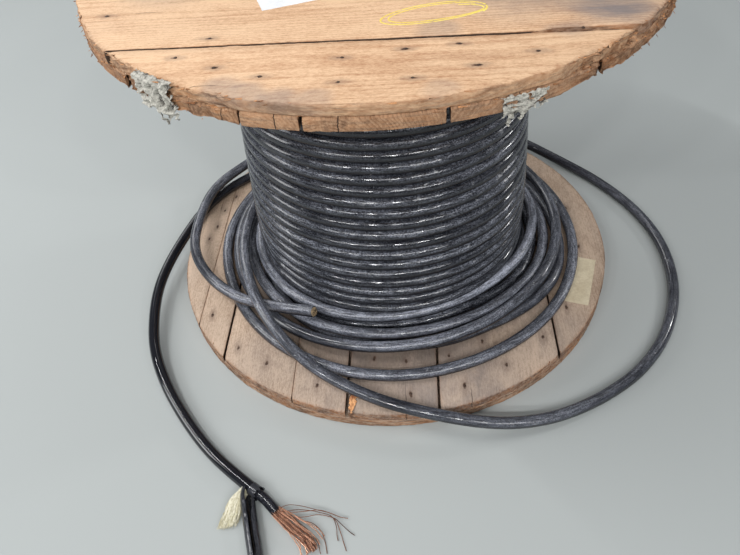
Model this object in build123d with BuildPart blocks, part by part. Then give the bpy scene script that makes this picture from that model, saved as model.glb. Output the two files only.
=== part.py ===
"""Wooden cable drum with wound power cable, slack turns, a long loose loop and a stripped end.

Millimetres. +Z up, the origin at the centre of the lower flange's underside, X along the boards
of the outer plies. The drum stands on its lower flange, and its front is towards -Y.
"""

import os
from math import cos, pi, radians, sin, tan

from build123d import *

os.makedirs("parts", exist_ok=True)

# Driving dimensions
inch = 25.4
flange_diameter = 36 * inch
ply_thickness = 0.75 * inch
traverse = 23 * inch
barrel_diameter = 17 * inch
stave_count = 16
stave_thickness = 19.0
stave_joint = 0.8
spindle_bore = 3 * inch
arris = 1.2
rim_overrun = 1.0

# Board joints of each ply: the joint's place as a share of the flange's radius, and how wide it has opened
top_outer_joints = [(-0.663, 7.0), (-0.260, 2.5), (0.142, 2.0), (0.545, 2.5)]
top_inner_joints = [(-0.667, 2.0), (-0.317, 1.2), (-0.155, 5.0), (0.210, 5.0), (0.612, 2.0)]
bottom_inner_joints = [(-0.849, 1.2), (-0.702, 3.0), (-0.389, 1.5), (-0.166, 4.0), (0.195, 4.0), (0.689, 3.0)]
bottom_outer_joints = [(-0.525, 2.5), (-0.122, 2.0), (0.280, 2.5), (0.682, 2.0)]

# Tie bolts inside the barrel, sunk in the outer plies so that the drum stands on wood alone
bolt_spread_x = 0.547 * flange_diameter / 2
bolt_spread_y = 0.416 * flange_diameter / 2
bolt_diameter = 12.7
bolt_clearance = 1.6
sink_diameter = 46.0
sink_depth = 14.0
head_across_flats = 19.0
head_height = 8.0
nut_height = 10.5
washer_diameter = 38.0
washer_thickness = 2.5
nut_play = 0.2

# Cable on the barrel
cable_diameter = 22.0
layer_count = 3
turn_pitch = 22.4
winding_foot = 107.0
taper_start = 200.0
taper_end = 400.0
taper_shrink = 11.0
turn_relief = 9.0
crest_share = 0.5
seat_gap = 0.3

# Stripped end
core_diameter = 18.0
strand_length = 105.0
strand_spread = 44.0
strand_height = 8.0
strand_sides = 8
jacket_wall = 1.8
channel_mouth = 2.0
filler_thickness = 2.5

flange_radius = flange_diameter / 2
flange_thickness = 2 * ply_thickness
overall_height = traverse + 2 * flange_thickness
lower_face = flange_thickness
upper_face = flange_thickness + traverse
barrel_radius = barrel_diameter / 2
layer_rise = cable_diameter * cos(radians(30))
turn_spread = 1 / cos(radians(15))


def polar(rows, spread=1.0):
    """Points from rows of angle in degrees, radius and height, each radius times the spread."""
    return [Vector(r * spread * cos(radians(a)), r * spread * sin(radians(a)), z) for a, r, z in rows]


def save(part, name):
    """Label a finished piece and write its STEP file."""
    part.label = name
    export_step(part, f"parts/{name}.step")


def board_spans(joints):
    """Low and high side of each board between the joints of a ply, from rim to rim."""
    sides = [(-flange_radius - rim_overrun, 0.0)]
    sides += [(share * flange_radius, gap) for share, gap in joints]
    sides += [(flange_radius + rim_overrun, 0.0)]
    return [(a + gap_a / 2, b - gap_b / 2) for (a, gap_a), (b, gap_b) in zip(sides, sides[1:])]


def make_ply(name, base, joints, along_x, sink_plane=None):
    """One ply of a flange: boards cut to the round, drilled for the spindle and the tie bolts."""
    for number, (low, high) in enumerate(board_spans(joints), start=1):
        with BuildPart() as board:
            with BuildSketch(Plane.XY.offset(base)):
                Circle(flange_radius)
                middle = (low + high) / 2
                place = (0, middle) if along_x else (middle, 0)
                size = (flange_diameter * 2, high - low) if along_x else (high - low, flange_diameter * 2)
                with Locations(place):
                    Rectangle(*size, mode=Mode.INTERSECT)
                Circle(spindle_bore / 2, mode=Mode.SUBTRACT)
                with GridLocations(bolt_spread_x, bolt_spread_y, 2, 2):
                    Circle((bolt_diameter + bolt_clearance) / 2, mode=Mode.SUBTRACT)
            extrude(amount=ply_thickness)
            if sink_plane is not None:
                with BuildSketch(sink_plane):
                    with GridLocations(bolt_spread_x, bolt_spread_y, 2, 2):
                        Circle(sink_diameter / 2)
                extrude(amount=-sink_depth, mode=Mode.SUBTRACT)
            arcs = board.edges().filter_by(GeomType.CIRCLE)
            chamfer(arcs.filter_by(lambda e: e.radius > flange_radius - rim_overrun), arris)
        save(board.part, f"{name}_board_{number}")


def make_staves():
    """Flat staves round the barrel, their sides bevelled to meet, butted between the flanges."""
    half = pi / stave_count
    inner_radius = barrel_radius - stave_thickness / cos(half)
    for number in range(stave_count):
        turn = 360.0 / stave_count * number
        with BuildPart() as stave:
            with BuildSketch(Plane.XY.offset(lower_face).rotated((0, 0, turn))):
                with BuildLine():
                    outer_half = barrel_radius * sin(half) - stave_joint / 2
                    inner_half = inner_radius * sin(half) - stave_joint / 2
                    Polyline(
                        (inner_radius * cos(half), -inner_half),
                        (barrel_radius * cos(half), -outer_half),
                        (barrel_radius * cos(half), outer_half),
                        (inner_radius * cos(half), inner_half),
                        close=True,
                    )
                make_face()
            extrude(amount=traverse)
        save(stave.part, f"barrel_stave_{number + 1:02d}")


def make_tie_bolts():
    """Four bolts through both flanges inside the barrel, each with two washers and a nut."""
    seat_low = sink_depth
    seat_high = overall_height - sink_depth
    nut_top = seat_low - washer_thickness
    tip = nut_top - nut_height
    bolt_places = GridLocations(bolt_spread_x, bolt_spread_y, 2, 2)
    for number, place in enumerate(bolt_places.local_locations, start=1):
        spot = place.position
        with BuildPart() as bolt:
            with BuildSketch(Plane.XY.offset(tip)):
                with Locations((spot.X, spot.Y)):
                    Circle(bolt_diameter / 2)
            extrude(amount=seat_high + washer_thickness - tip)
            with BuildSketch(Plane.XY.offset(seat_high + washer_thickness)):
                with Locations((spot.X, spot.Y)):
                    RegularPolygon(head_across_flats / 2, 6, major_radius=False)
            extrude(amount=head_height)
        save(bolt.part, f"tie_bolt_{number}")
    for name, base in (("bottom", nut_top), ("top", seat_high)):
        with BuildPart() as washers:
            with BuildSketch(Plane.XY.offset(base)):
                with GridLocations(bolt_spread_x, bolt_spread_y, 2, 2):
                    Circle(washer_diameter / 2)
                    Circle(bolt_diameter / 2 + nut_play, mode=Mode.SUBTRACT)
            extrude(amount=washer_thickness)
        save(washers.part, f"{name}_washers")
    with BuildPart() as nuts:
        with BuildSketch(Plane.XY.offset(tip)):
            with GridLocations(bolt_spread_x, bolt_spread_y, 2, 2):
                RegularPolygon(head_across_flats / 2, 6, major_radius=False)
                Circle(bolt_diameter / 2 + nut_play, mode=Mode.SUBTRACT)
        extrude(amount=nut_height)
    save(nuts.part, "tie_bolt_nuts")


def winding_radius(height, layers):
    """Outside radius of the winding at a height: full low down, drawn tighter higher up."""
    rise = min(max((height - taper_start) / (taper_end - taper_start), 0.0), 1.0)
    full = barrel_radius + seat_gap + cable_diameter + (layers - 1) * layer_rise
    return full - taper_shrink * rise


def turn_bulges(low, high, layers):
    """Points of the turns that fill a stretch of the winding: each a flat crest between two grooves."""
    count = round((high - low) / turn_pitch)
    pitch = (high - low) / count
    slope = pitch * (1 - crest_share) / 2
    bulges = []
    for number in range(count):
        foot = low + number * pitch
        head = foot + pitch
        radius = winding_radius(foot + pitch / 2, layers)
        groove = radius - turn_relief
        bulges.append(((groove, foot), (radius, foot + slope), (radius, head - slope), (groove, head)))
    return bulges


def make_winding():
    """The cable wound on the barrel as one turned solid with its bore; each turn shows as a ring."""
    bottom = lower_face + seat_gap
    top = upper_face - seat_gap
    bore = barrel_radius + seat_gap
    bulges = turn_bulges(bottom, winding_foot, layer_count - 1) + turn_bulges(winding_foot, top, layer_count)
    with BuildPart() as winding:
        with BuildSketch(Plane.XZ):
            with BuildLine():
                outline = [(bore, bottom)]
                for bulge in bulges:
                    outline += bulge
                outline.append((bore, top))
                clean = [p for p, q in zip(outline, outline[1:]) if p != q] + outline[-1:]
                Polyline(*clean, close=True)
            make_face()
        revolve(axis=Axis.Z)
    save(winding.part, "wound_cable")


# The long cable while it turns round the winding, every 30 degrees after a half step: angle, radius, height
slack_turns = [
    (115, 262, 95), (130, 274, 95), (160, 278, 95), (190, 282, 94), (220, 283, 94), (250, 284, 95),
    (280, 273, 95), (310, 272, 95), (340, 291, 93), (370, 309, 88), (400, 314, 82), (430, 313, 79),
    (460, 310, 76), (490, 306, 73), (520, 304, 72), (550, 303, 72), (580, 304, 72), (610, 303, 72),
    (640, 299, 72), (670, 304, 69), (700, 324, 62), (730, 329, 60), (760, 325, 58), (790, 325, 56),
    (820, 332, 53), (850, 343, 54), (880, 350, 56), (910, 337, 52), (940, 331, 52), (970, 332, 68),
    (1000, 330, 73), (1030, 330, 73), (1060, 346, 73), (1090, 360, 73), (1120, 367, 75), (1150, 362, 79),
    (1180, 346, 86), (1210, 327, 92), (1240, 315, 95), (1270, 312, 100),
]

# The same cable where it leaves the turns: over the flange, round on the floor and back behind
loop_route = [
    (1294, 338, 112), (1308, 361, 108), (1319, 380, 88), (1329, 398, 71), (1339, 416, 60), (1349, 440, 54),
    (1358, 466, 53), (1367, 496, 44), (1375, 518, 27), (1384, 540, 15), (1394, 562, 12), (1404, 584, 11.5),
    (1415, 597, 11.5), (1427, 600, 11.5), (1439, 591, 11.5), (1450, 572, 11.5), (1463, 543, 11.5),
    (1476, 512, 16), (1488, 482, 40), (1502, 458, 57), (1518, 432, 54), (1534, 412, 51), (1552, 400, 49.8),
    (1570, 398, 49.6), (1584, 418, 49.6), (1596, 446, 50), (1607, 461, 50), (1617, 475, 45),
]

# Its tail beside the drum, down to the floor at the front left, as far as the jacket goes: x, y, z
tail_route = [
    (-496, -62, 38), (-502, -135, 33), (-493, -210, 28), (-473, -290, 22), (-432, -368, 17),
    (-383, -436, 12.5), (-329, -499, 11.5), (-278, -545, 11.5), (-225, -584, 11.5),
]

# The second cable: a hidden turn, then one wide turn on the flange
short_turns = [
    (210.5, 270.9, 49.6), (225, 290, 49.6), (255, 304, 49.6), (285, 315, 49.6), (310, 322, 49.6),
    (325, 342, 49.6), (340, 356, 49.6), (360, 352, 49.6), (385, 352, 49.6), (415, 356, 49.6),
    (445, 360, 49.6), (475, 367, 49.6), (505, 373, 49.6), (535, 368, 49.6), (565, 360, 49.6),
    (595, 369, 49.6), (625, 380, 49.6), (655, 382, 49.6), (685, 390, 49.6), (715, 389, 49.6),
    (745, 384, 49.6),
]

# Its tail, up over the long cable, through the air and down to the cut end on the turns
short_route = [
    (775, 392, 50), (795, 396, 58), (812, 410, 76),
    (830, 425, 81), (850, 435, 78), (866, 439, 77), (880, 455, 77), (895, 441, 77), (908, 434, 77),
    (921, 405, 76), (933, 369, 74), (943, 335, 80), (955, 316, 101), (963, 309, 111),
]

# The core's cut end, the channel of slit jacket beside it and a scrap of filler paper
core_lead = 24.0
core_end = (-183, -621, 9.8)
strand_heading = Vector(68, -57, 0)
channel_route = [(-239.7, -594.8, 11.3), (-235, -630, 11.3), (-230, -665, 11.3), (-227, -702, 11.3)]
filler_outline = [
    (-247.3, -596.3), (-244.8, -612), (-251, -634), (-266, -656), (-281, -650), (-274, -622), (-263, -600),
]


def route_radii(points):
    """Radius of the arc at each inner point: 0.45 of the shorter run over the tangent of half the turn."""
    radii = []
    for before, here, after in zip(points, points[1:], points[2:]):
        run_in = here - before
        run_out = after - here
        turn = radians(run_in.get_angle(run_out))
        radii.append(0.45 * min(run_in.length, run_out.length) / tan(turn / 2))
    return radii


def make_cable(name, points, diameter):
    """A round tube along straight runs joined by tangent arcs."""
    radii = route_radii(points)
    with BuildPart() as cable:
        with BuildLine():
            FilletPolyline(*points, radius=radii)
        path = cable.pending_edges_as_wire
        with BuildSketch(Plane(origin=path @ 0, z_dir=path % 0)):
            Circle(diameter / 2)
        sweep(path=path)
    volume = pi * diameter**2 / 4 * path.length
    share = cable.part.volume / volume
    print(f"{name}: length {path.length:.0f}, least radius {min(radii):.0f}, volume share {share:.4f}")
    save(cable.part, name)


def core_points():
    """The core's line: straight on from the jacket for a short lead, then down to its cut end."""
    before, root = Vector(*tail_route[-2]), Vector(*tail_route[-1])
    return [root, root + (root - before).normalized() * core_lead, Vector(*core_end)]


def make_strands():
    """The fan of bare copper strands as one closed solid, flattening as it nears the floor."""
    lead, root = core_points()[1:]
    heading = strand_heading.normalized()
    side = Vector(-heading.Y, heading.X, 0)
    drop = root.Z - strand_height / 2 - seat_gap
    corners = [2 * pi * (number + 0.5) / strand_sides for number in range(strand_sides)]
    with BuildPart() as strands:
        for share in (0.0, 0.35, 1.0):
            station = root + heading * (strand_length * share) - Vector(0, 0, drop * share)
            half_width = (core_diameter * (1 - share) + strand_spread * share) / 2 - seat_gap
            half_height = (core_diameter * (1 - share) + strand_height * share) / 2 - seat_gap
            facing = (root - lead).normalized() if share == 0 else heading
            with BuildSketch(Plane(origin=station, x_dir=side, z_dir=facing)):
                with BuildLine():
                    Polyline(*[(half_width * cos(a), half_height * sin(a)) for a in corners], close=True)
                make_face()
        loft(ruled=True)
    save(strands.part, "copper_strands")


def make_jacket_channel():
    """The slit jacket, peeled off the core and lying open side up beside it."""
    outer = cable_diameter / 2
    inner = outer - jacket_wall
    points = [Vector(*p) for p in channel_route]
    with BuildPart() as channel:
        with BuildLine():
            FilletPolyline(*points, radius=route_radii(points))
        path = channel.pending_edges_as_wire
        with BuildSketch(Plane(origin=path @ 0, x_dir=(0, 0, 1), z_dir=path % 0)):
            Circle(outer)
            Circle(inner, mode=Mode.SUBTRACT)
            with Locations((outer + channel_mouth, 0)):
                Rectangle(2 * outer, 4 * outer, mode=Mode.SUBTRACT)
        sweep(path=path)
    save(channel.part, "slit_jacket")


def make_filler():
    """A scrap of the paper filler on the floor beside the slit jacket."""
    with BuildPart() as filler:
        with BuildSketch(Plane.XY.offset(seat_gap)):
            with BuildLine():
                Polyline(*filler_outline, close=True)
            make_face()
        extrude(amount=filler_thickness)
    save(filler.part, "filler_paper")


make_ply("bottom_outer", 0, bottom_outer_joints, True, Plane.XY.rotated((180, 0, 0)))
make_ply("bottom_inner", ply_thickness, bottom_inner_joints, False)
make_ply("top_inner", upper_face, top_inner_joints, False)
make_ply("top_outer", upper_face + ply_thickness, top_outer_joints, True, Plane.XY.offset(overall_height))
make_staves()
make_tie_bolts()
make_winding()
long_points = polar(slack_turns, turn_spread) + polar(loop_route) + [Vector(*p) for p in tail_route]
make_cable("loose_cable", long_points, cable_diameter)
make_cable("cut_tail", polar(short_turns, turn_spread) + polar(short_route), cable_diameter)
make_cable("stripped_core", core_points(), core_diameter)
make_strands()
make_jacket_channel()
make_filler()
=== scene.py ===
"""Wooden cable drum with wound power cable, slack turns, a long loose loop and a stripped end.

Metres, +Z up, the origin at the centre of the lower flange's underside, X along the boards of the
outer plies, the front towards -Y.
"""

import logging
import math
import random
from contextlib import contextmanager
from dataclasses import dataclass, field
from enum import Enum
from typing import Iterator, Sequence

import bmesh
import bpy
import numpy as np
from mathutils import Matrix, Vector, noise


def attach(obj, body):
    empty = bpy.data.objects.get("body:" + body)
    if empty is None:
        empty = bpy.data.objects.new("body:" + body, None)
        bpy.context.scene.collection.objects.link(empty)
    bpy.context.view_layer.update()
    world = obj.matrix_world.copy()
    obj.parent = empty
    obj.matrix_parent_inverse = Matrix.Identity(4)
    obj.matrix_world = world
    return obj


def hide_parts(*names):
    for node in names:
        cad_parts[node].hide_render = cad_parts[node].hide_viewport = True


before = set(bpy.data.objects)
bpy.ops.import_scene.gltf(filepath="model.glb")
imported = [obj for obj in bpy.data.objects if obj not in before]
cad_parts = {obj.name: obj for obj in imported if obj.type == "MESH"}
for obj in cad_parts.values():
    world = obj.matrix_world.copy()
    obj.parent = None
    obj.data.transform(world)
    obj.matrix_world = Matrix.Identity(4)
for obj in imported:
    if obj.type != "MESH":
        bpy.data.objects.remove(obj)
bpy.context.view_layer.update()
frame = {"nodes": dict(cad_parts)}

log = logging.getLogger("cable_drum")

Point = tuple[float, float, float]
Colour = tuple[float, float, float, float]
Socket = bpy.types.NodeSocket
Value = Socket | float | tuple[float, ...]

MM = 0.001
BODY = "root"

FLANGE_RADIUS = 457.2 * MM
PLY = 19.05 * MM
LOWER_FACE = 38.1 * MM
UPPER_FACE = 622.3 * MM
DRUM_HEIGHT = 660.4 * MM
CABLE = 22.0 * MM
CORE = 18.0 * MM
TURN_SPREAD = 1 / math.cos(math.radians(15))


# Small helpers


def clear_selection() -> None:
    """Leave edit mode and deselect every object, so that an operator acts on new work only."""
    if bpy.context.object and bpy.context.object.mode != "OBJECT":
        bpy.ops.object.mode_set(mode="OBJECT")
    bpy.ops.object.select_all(action="DESELECT")


def pick(piece: bpy.types.Object) -> None:
    """Make one object the selected and active one.

    Args:
        piece: the object.
    """
    clear_selection()
    piece.select_set(True)
    bpy.context.view_layer.objects.active = piece


@contextmanager
def editing(piece: bpy.types.Object) -> Iterator[None]:
    """Edit mode on one piece, with all of it selected.

    Args:
        piece: the mesh object to edit.

    Returns:
        A context in which mesh operators act on the piece.
    """
    pick(piece)
    bpy.ops.object.mode_set(mode="EDIT")
    bpy.ops.mesh.select_all(action="SELECT")
    yield
    bpy.ops.object.mode_set(mode="OBJECT")


def link(name: str, data: bpy.types.ID) -> bpy.types.Object:
    """Put a mesh, curve, lamp or camera into the scene as an object.

    Args:
        name: the object's name.
        data: what it shows.

    Returns:
        The new object.
    """
    thing = bpy.data.objects.new(name, data)
    bpy.context.scene.collection.objects.link(thing)
    return thing


def add_mesh(name: str, points: np.ndarray, faces: Sequence[Sequence[int]]) -> bpy.types.Object:
    """Put a new mesh object into the scene.

    Args:
        name: the piece's name.
        points: rows of x, y, z in metres.
        faces: the corner numbers of each face, anticlockwise from outside.

    Returns:
        The new object, at the origin and unturned.
    """
    mesh = bpy.data.meshes.new(name)
    mesh.from_pydata([tuple(map(float, p)) for p in points], [], [list(map(int, f)) for f in faces])
    mesh.update()
    return link(name, mesh)


def mark(piece: bpy.types.Object, name: str, values: Sequence) -> None:
    """Store a number or a vector for each point of a mesh, last of all, as an attribute.

    Args:
        piece: the mesh object.
        name: the attribute's name.
        values: one number or vector for each point.
    """
    rows = np.asarray(values, np.float32)
    kind, key = ("FLOAT_VECTOR", "vector") if rows.ndim == 2 else ("FLOAT", "value")
    piece.data.attributes.new(name, kind, "POINT").data.foreach_set(key, rows.ravel())


def thicken(piece: bpy.types.Object, thickness: float, offset: float = 0.0) -> None:
    """Give a sheet a thickness, by a modifier that is applied.

    Args:
        piece: the sheet.
        thickness: the wall in metres.
        offset: -1 to grow inwards, 0 to both sides, 1 outwards.
    """
    pick(piece)
    wall = piece.modifiers.new("wall", "SOLIDIFY")
    wall.thickness, wall.offset = thickness, offset
    bpy.ops.object.modifier_apply(modifier=wall.name)


def outward(piece: bpy.types.Object) -> None:
    """Turn all faces of a closed mesh to point outwards.

    Args:
        piece: the mesh object.
    """
    work = bmesh.new()
    work.from_mesh(piece.data)
    bmesh.ops.recalc_face_normals(work, faces=work.faces)
    work.to_mesh(piece.data)
    work.free()
    piece.data.update()


def smooth(piece: bpy.types.Object, angle: float = 40.0) -> None:
    """Shade a piece smooth except across edges sharper than an angle in degrees."""
    pick(piece)
    bpy.ops.object.shade_smooth_by_angle(angle=math.radians(angle))


def dress(piece: bpy.types.Object, material: bpy.types.Material) -> bpy.types.Object:
    """Give a piece its material, and make it ride on the drum.

    Args:
        piece: the mesh or curve object.
        material: its only material.

    Returns:
        The same piece.
    """
    piece.data.materials.clear()
    piece.data.materials.append(material)
    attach(piece, BODY)
    return piece


def ripple(x: float, y: float, z: float) -> float:
    """Smooth, repeatable noise at a place, from -1 to 1."""
    return noise.noise(Vector((x, y, z)))


def wobble(place: float, seed: float, size: float) -> float:
    """A smooth, repeatable wander along a line, from -size to size."""
    return size * ripple(place, seed, 0.37 * seed)


def clamp(value: float, low: float = 0.0, high: float = 1.0) -> float:
    """A value kept between two others."""
    return min(high, max(low, value))


def ease_in(share: float) -> float:
    """A share from 0 to 1 with a gentle start and end."""
    return share * share * (3 - 2 * share)


def headings(line: np.ndarray) -> np.ndarray:
    """Unit directions along a line of points."""
    steps = np.gradient(line, axis=0)
    return steps / np.linalg.norm(steps, axis=1)[:, None]


def level_frame(ahead: np.ndarray) -> tuple[np.ndarray, np.ndarray]:
    """Unit directions level across and square above, for rows of directions ahead.

    Args:
        ahead: rows of unit directions.

    Returns:
        The directions across and those above.
    """
    side = np.cross(ahead, (0.0, 0.0, 1.0))
    side /= np.maximum(np.linalg.norm(side, axis=-1, keepdims=True), 1e-9)
    return side, np.cross(side, ahead)


def onto_points(rows: Sequence[Sequence[float]]) -> list[Vector]:
    """Points in metres from rows of x, y and z in millimetres."""
    return [Vector(row) * MM for row in rows]


# Shading


class Graph:
    """A material's node tree, built up call by call; every call returns an output socket."""

    def __init__(self, name: str) -> None:
        """Start an empty material with a Principled shader.

        Args:
            name: the material's name.
        """
        self.material = bpy.data.materials.new(name)
        self.material.use_nodes = True
        self.tree = self.material.node_tree
        self.tree.nodes.clear()
        output = self.tree.nodes.new("ShaderNodeOutputMaterial")
        self.shader = self.tree.nodes.new("ShaderNodeBsdfPrincipled")
        self.tree.links.new(self.shader.outputs[0], output.inputs[0])

    def feed(self, socket: Socket, value: Value | None) -> None:
        """Link a socket to an input, or set the input to a plain value.

        Args:
            socket: the input.
            value: what goes in, or None to leave it.
        """
        if isinstance(value, bpy.types.NodeSocket):
            self.tree.links.new(value, socket)
        elif value is not None:
            socket.default_value = value

    def set(self, **values: Value) -> None:
        """Set or link the shader's inputs; underscores stand for spaces."""
        for key, value in values.items():
            self.feed(self.shader.inputs[key.replace("_", " ")], value)

    def object_coordinates(self) -> Socket:
        """The point being shaded, in the drum's frame."""
        return self.tree.nodes.new("ShaderNodeTexCoord").outputs["Object"]

    def attribute(self, name: str, output: str = "Vector") -> Socket:
        """A mesh attribute.

        Args:
            name: the attribute's name.
            output: Vector, Color or Fac.

        Returns:
            Its value at the point being shaded.
        """
        node = self.tree.nodes.new("ShaderNodeAttribute")
        node.attribute_name = name
        return node.outputs[output]

    def facing_up(self) -> Socket:
        """How far the surface looks up, from -1 to 1."""
        normal = self.tree.nodes.new("ShaderNodeNewGeometry").outputs["Normal"]
        return self.split(normal)[2]

    def math(self, operation: str, a: Value, b: Value | None = None, c: Value | None = None,
             clamp: bool = False) -> Socket:
        """A Math node.

        Args:
            operation: Blender's name of the operation.
            a, b, c: the inputs that it takes.
            clamp: whether the result is kept from 0 to 1.

        Returns:
            The result.
        """
        node = self.tree.nodes.new("ShaderNodeMath")
        node.operation = operation
        node.use_clamp = clamp
        for socket, value in zip(node.inputs, (a, b, c)):
            self.feed(socket, value)
        return node.outputs[0]

    def fold(self, operation: str, values: Sequence[Value], clamp: bool) -> Socket:
        """Take several values together, two at a time.

        Args:
            operation: ADD or MULTIPLY.
            values: two or more values.
            clamp: whether the last step is kept from 0 to 1.

        Returns:
            The result.
        """
        first, *others = values
        for number, other in enumerate(others, start=1):
            first = self.math(operation, first, other, clamp=clamp and number == len(others))
        return first

    def times(self, *values: Value, clamp: bool = False) -> Socket:
        """The product of values."""
        return self.fold("MULTIPLY", values, clamp)

    def plus(self, *values: Value, clamp: bool = False) -> Socket:
        """The sum of values."""
        return self.fold("ADD", values, clamp)

    def minus(self, a: Value, b: Value) -> Socket:
        """The difference of two values."""
        return self.math("SUBTRACT", a, b)

    def rescale(self, value: Value, factor: float, start: float) -> Socket:
        """A value times a factor, moved by a start."""
        return self.math("MULTIPLY_ADD", value, factor, start)

    def size(self, value: Value) -> Socket:
        """A value without its sign."""
        return self.math("ABSOLUTE", value)

    def vector(self, operation: str, a: Value, b: Value | None = None) -> Socket:
        """A Vector Math node that gives a number: LENGTH or DISTANCE.

        Args:
            operation: LENGTH or DISTANCE.
            a, b: the vectors.

        Returns:
            The number.
        """
        node = self.tree.nodes.new("ShaderNodeVectorMath")
        node.operation = operation
        self.feed(node.inputs[0], a)
        self.feed(node.inputs[1], b)
        return node.outputs["Value"]

    def split(self, vector: Value) -> tuple[Socket, Socket, Socket]:
        """The x, y and z of a vector.

        Args:
            vector: the vector.

        Returns:
            Its three parts.
        """
        node = self.tree.nodes.new("ShaderNodeSeparateXYZ")
        self.feed(node.inputs[0], vector)
        return node.outputs[0], node.outputs[1], node.outputs[2]

    def join(self, x: Value, y: Value, z: Value) -> Socket:
        """A vector from its x, y and z.

        Args:
            x, y, z: the three parts.

        Returns:
            The vector.
        """
        node = self.tree.nodes.new("ShaderNodeCombineXYZ")
        for socket, value in zip(node.inputs, (x, y, z)):
            self.feed(socket, value)
        return node.outputs[0]

    def place(self, vector: Value, move: Point = (0, 0, 0), scale: Point = (1, 1, 1)) -> Socket:
        """A Mapping node: scaled, then moved.

        Args:
            vector: where to look.
            move: added after the scaling.
            scale: on each axis.

        Returns:
            The mapped vector.
        """
        node = self.tree.nodes.new("ShaderNodeMapping")
        self.feed(node.inputs["Vector"], vector)
        node.inputs["Location"].default_value = move
        node.inputs["Scale"].default_value = scale
        return node.outputs[0]

    def noise(self, vector: Value, scale: float, detail: float = 2.0, rough: float = 0.5,
              twist: float = 0.0) -> Socket:
        """Noise from 0 to 1 at a scale in waves per unit of the vector.

        Args:
            vector: where to look.
            scale: waves per unit.
            detail: finer octaves.
            rough: the octaves' strength.
            twist: how far it is distorted.

        Returns:
            The noise.
        """
        node = self.tree.nodes.new("ShaderNodeTexNoise")
        self.feed(node.inputs["Vector"], vector)
        for key, number in (("Scale", scale), ("Detail", detail), ("Roughness", rough), ("Distortion", twist)):
            node.inputs[key].default_value = number
        return node.outputs["Fac"]

    def drawn(self, vector: Value, scale: Point, detail: float = 2.0, rough: float = 0.5, twist: float = 0.0,
              move: Point = (0, 0, 0)) -> Socket:
        """Noise with a scale of its own on each axis."""
        return self.noise(self.place(vector, move, scale), 1.0, detail, rough, twist)

    def span(self, value: Value, low: float, high: float, to_low: float = 0.0, to_high: float = 1.0,
             soft: bool = False) -> Socket:
        """Map a value from one range to another, clamped.

        Args:
            value: the value.
            low, high: the range that is mapped.
            to_low, to_high: what its ends become.
            soft: ease in and out.

        Returns:
            The mapped value.
        """
        node = self.tree.nodes.new("ShaderNodeMapRange")
        node.interpolation_type = "SMOOTHSTEP" if soft else "LINEAR"
        self.feed(node.inputs["Value"], value)
        for key, number in zip(("From Min", "From Max", "To Min", "To Max"), (low, high, to_low, to_high)):
            node.inputs[key].default_value = number
        return node.outputs[0]

    def ramp(self, value: Value, stops: Sequence[tuple[float, Colour]]) -> Socket:
        """A colour ramp through stops of place and colour.

        Args:
            value: a place from 0 to 1.
            stops: places and colours, in order.

        Returns:
            The colour.
        """
        node = self.tree.nodes.new("ShaderNodeValToRGB")
        while len(node.color_ramp.elements) < len(stops):
            node.color_ramp.elements.new(0.5)
        for element, (place, colour) in zip(node.color_ramp.elements, stops):
            element.position = place
            element.color = colour
        self.feed(node.inputs[0], value)
        return node.outputs[0]

    def mix(self, share: Value, a: Value, b: Value) -> Socket:
        """Mix two colours.

        Args:
            share: how much of the second.
            a, b: the colours.

        Returns:
            The mixed colour.
        """
        node = self.tree.nodes.new("ShaderNodeMix")
        node.data_type = "RGBA"
        self.feed(node.inputs[0], share)
        self.feed(node.inputs[6], a)
        self.feed(node.inputs[7], b)
        return node.outputs[2]

    def bump(self, height: Value, distance: float, strength: float = 1.0, under: Socket | None = None) -> Socket:
        """A Bump node, over another one where given.

        Args:
            height: the height.
            distance: metres for a height of 1.
            strength: of the effect.
            under: a normal to start from.

        Returns:
            The normal.
        """
        node = self.tree.nodes.new("ShaderNodeBump")
        node.inputs["Strength"].default_value = strength
        node.inputs["Distance"].default_value = distance
        self.feed(node.inputs["Height"], height)
        if under is not None:
            self.feed(node.inputs["Normal"], under)
        return node.outputs[0]


def srgb(red: int, green: int, blue: int) -> Colour:
    """A colour from 0-255 display values as linear light.

    Args:
        red, green, blue: the display values.

    Returns:
        The colour, with an alpha of 1.
    """

    def linear(value: int) -> float:
        """One channel as linear light."""
        share = value / 255
        return share / 12.92 if share <= 0.04045 else ((share + 0.055) / 1.055) ** 2.4

    return (linear(red), linear(green), linear(blue), 1.0)


WATER_STAIN = srgb(130, 124, 124)
# grime and painted shade under the cable turns
GRIME_AND_SHADE = srgb(66, 60, 58)
DRY_CHECK = srgb(62, 42, 30)
TORN_FIBRE = srgb(88, 58, 40)
JOINT_SHADE = srgb(44, 32, 25)
SPLIT_SHADE = srgb(38, 26, 20)
FRESH_WOOD = srgb(246, 184, 128)
FRESH_SHADE = srgb(150, 82, 46)
FLAKE_EDGE = srgb(58, 36, 24)
RUST_HALO = srgb(112, 94, 84)
RUST = srgb(76, 54, 43)
# near-white of the painted highlight dashes on the jackets
GLINT_WHITE = srgb(205, 207, 210)


class Grain(Enum):
    """The way a board's grain runs."""

    ALONG_X = "x"
    ALONG_Y = "y"
    ALONG_Z = "z"


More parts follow.
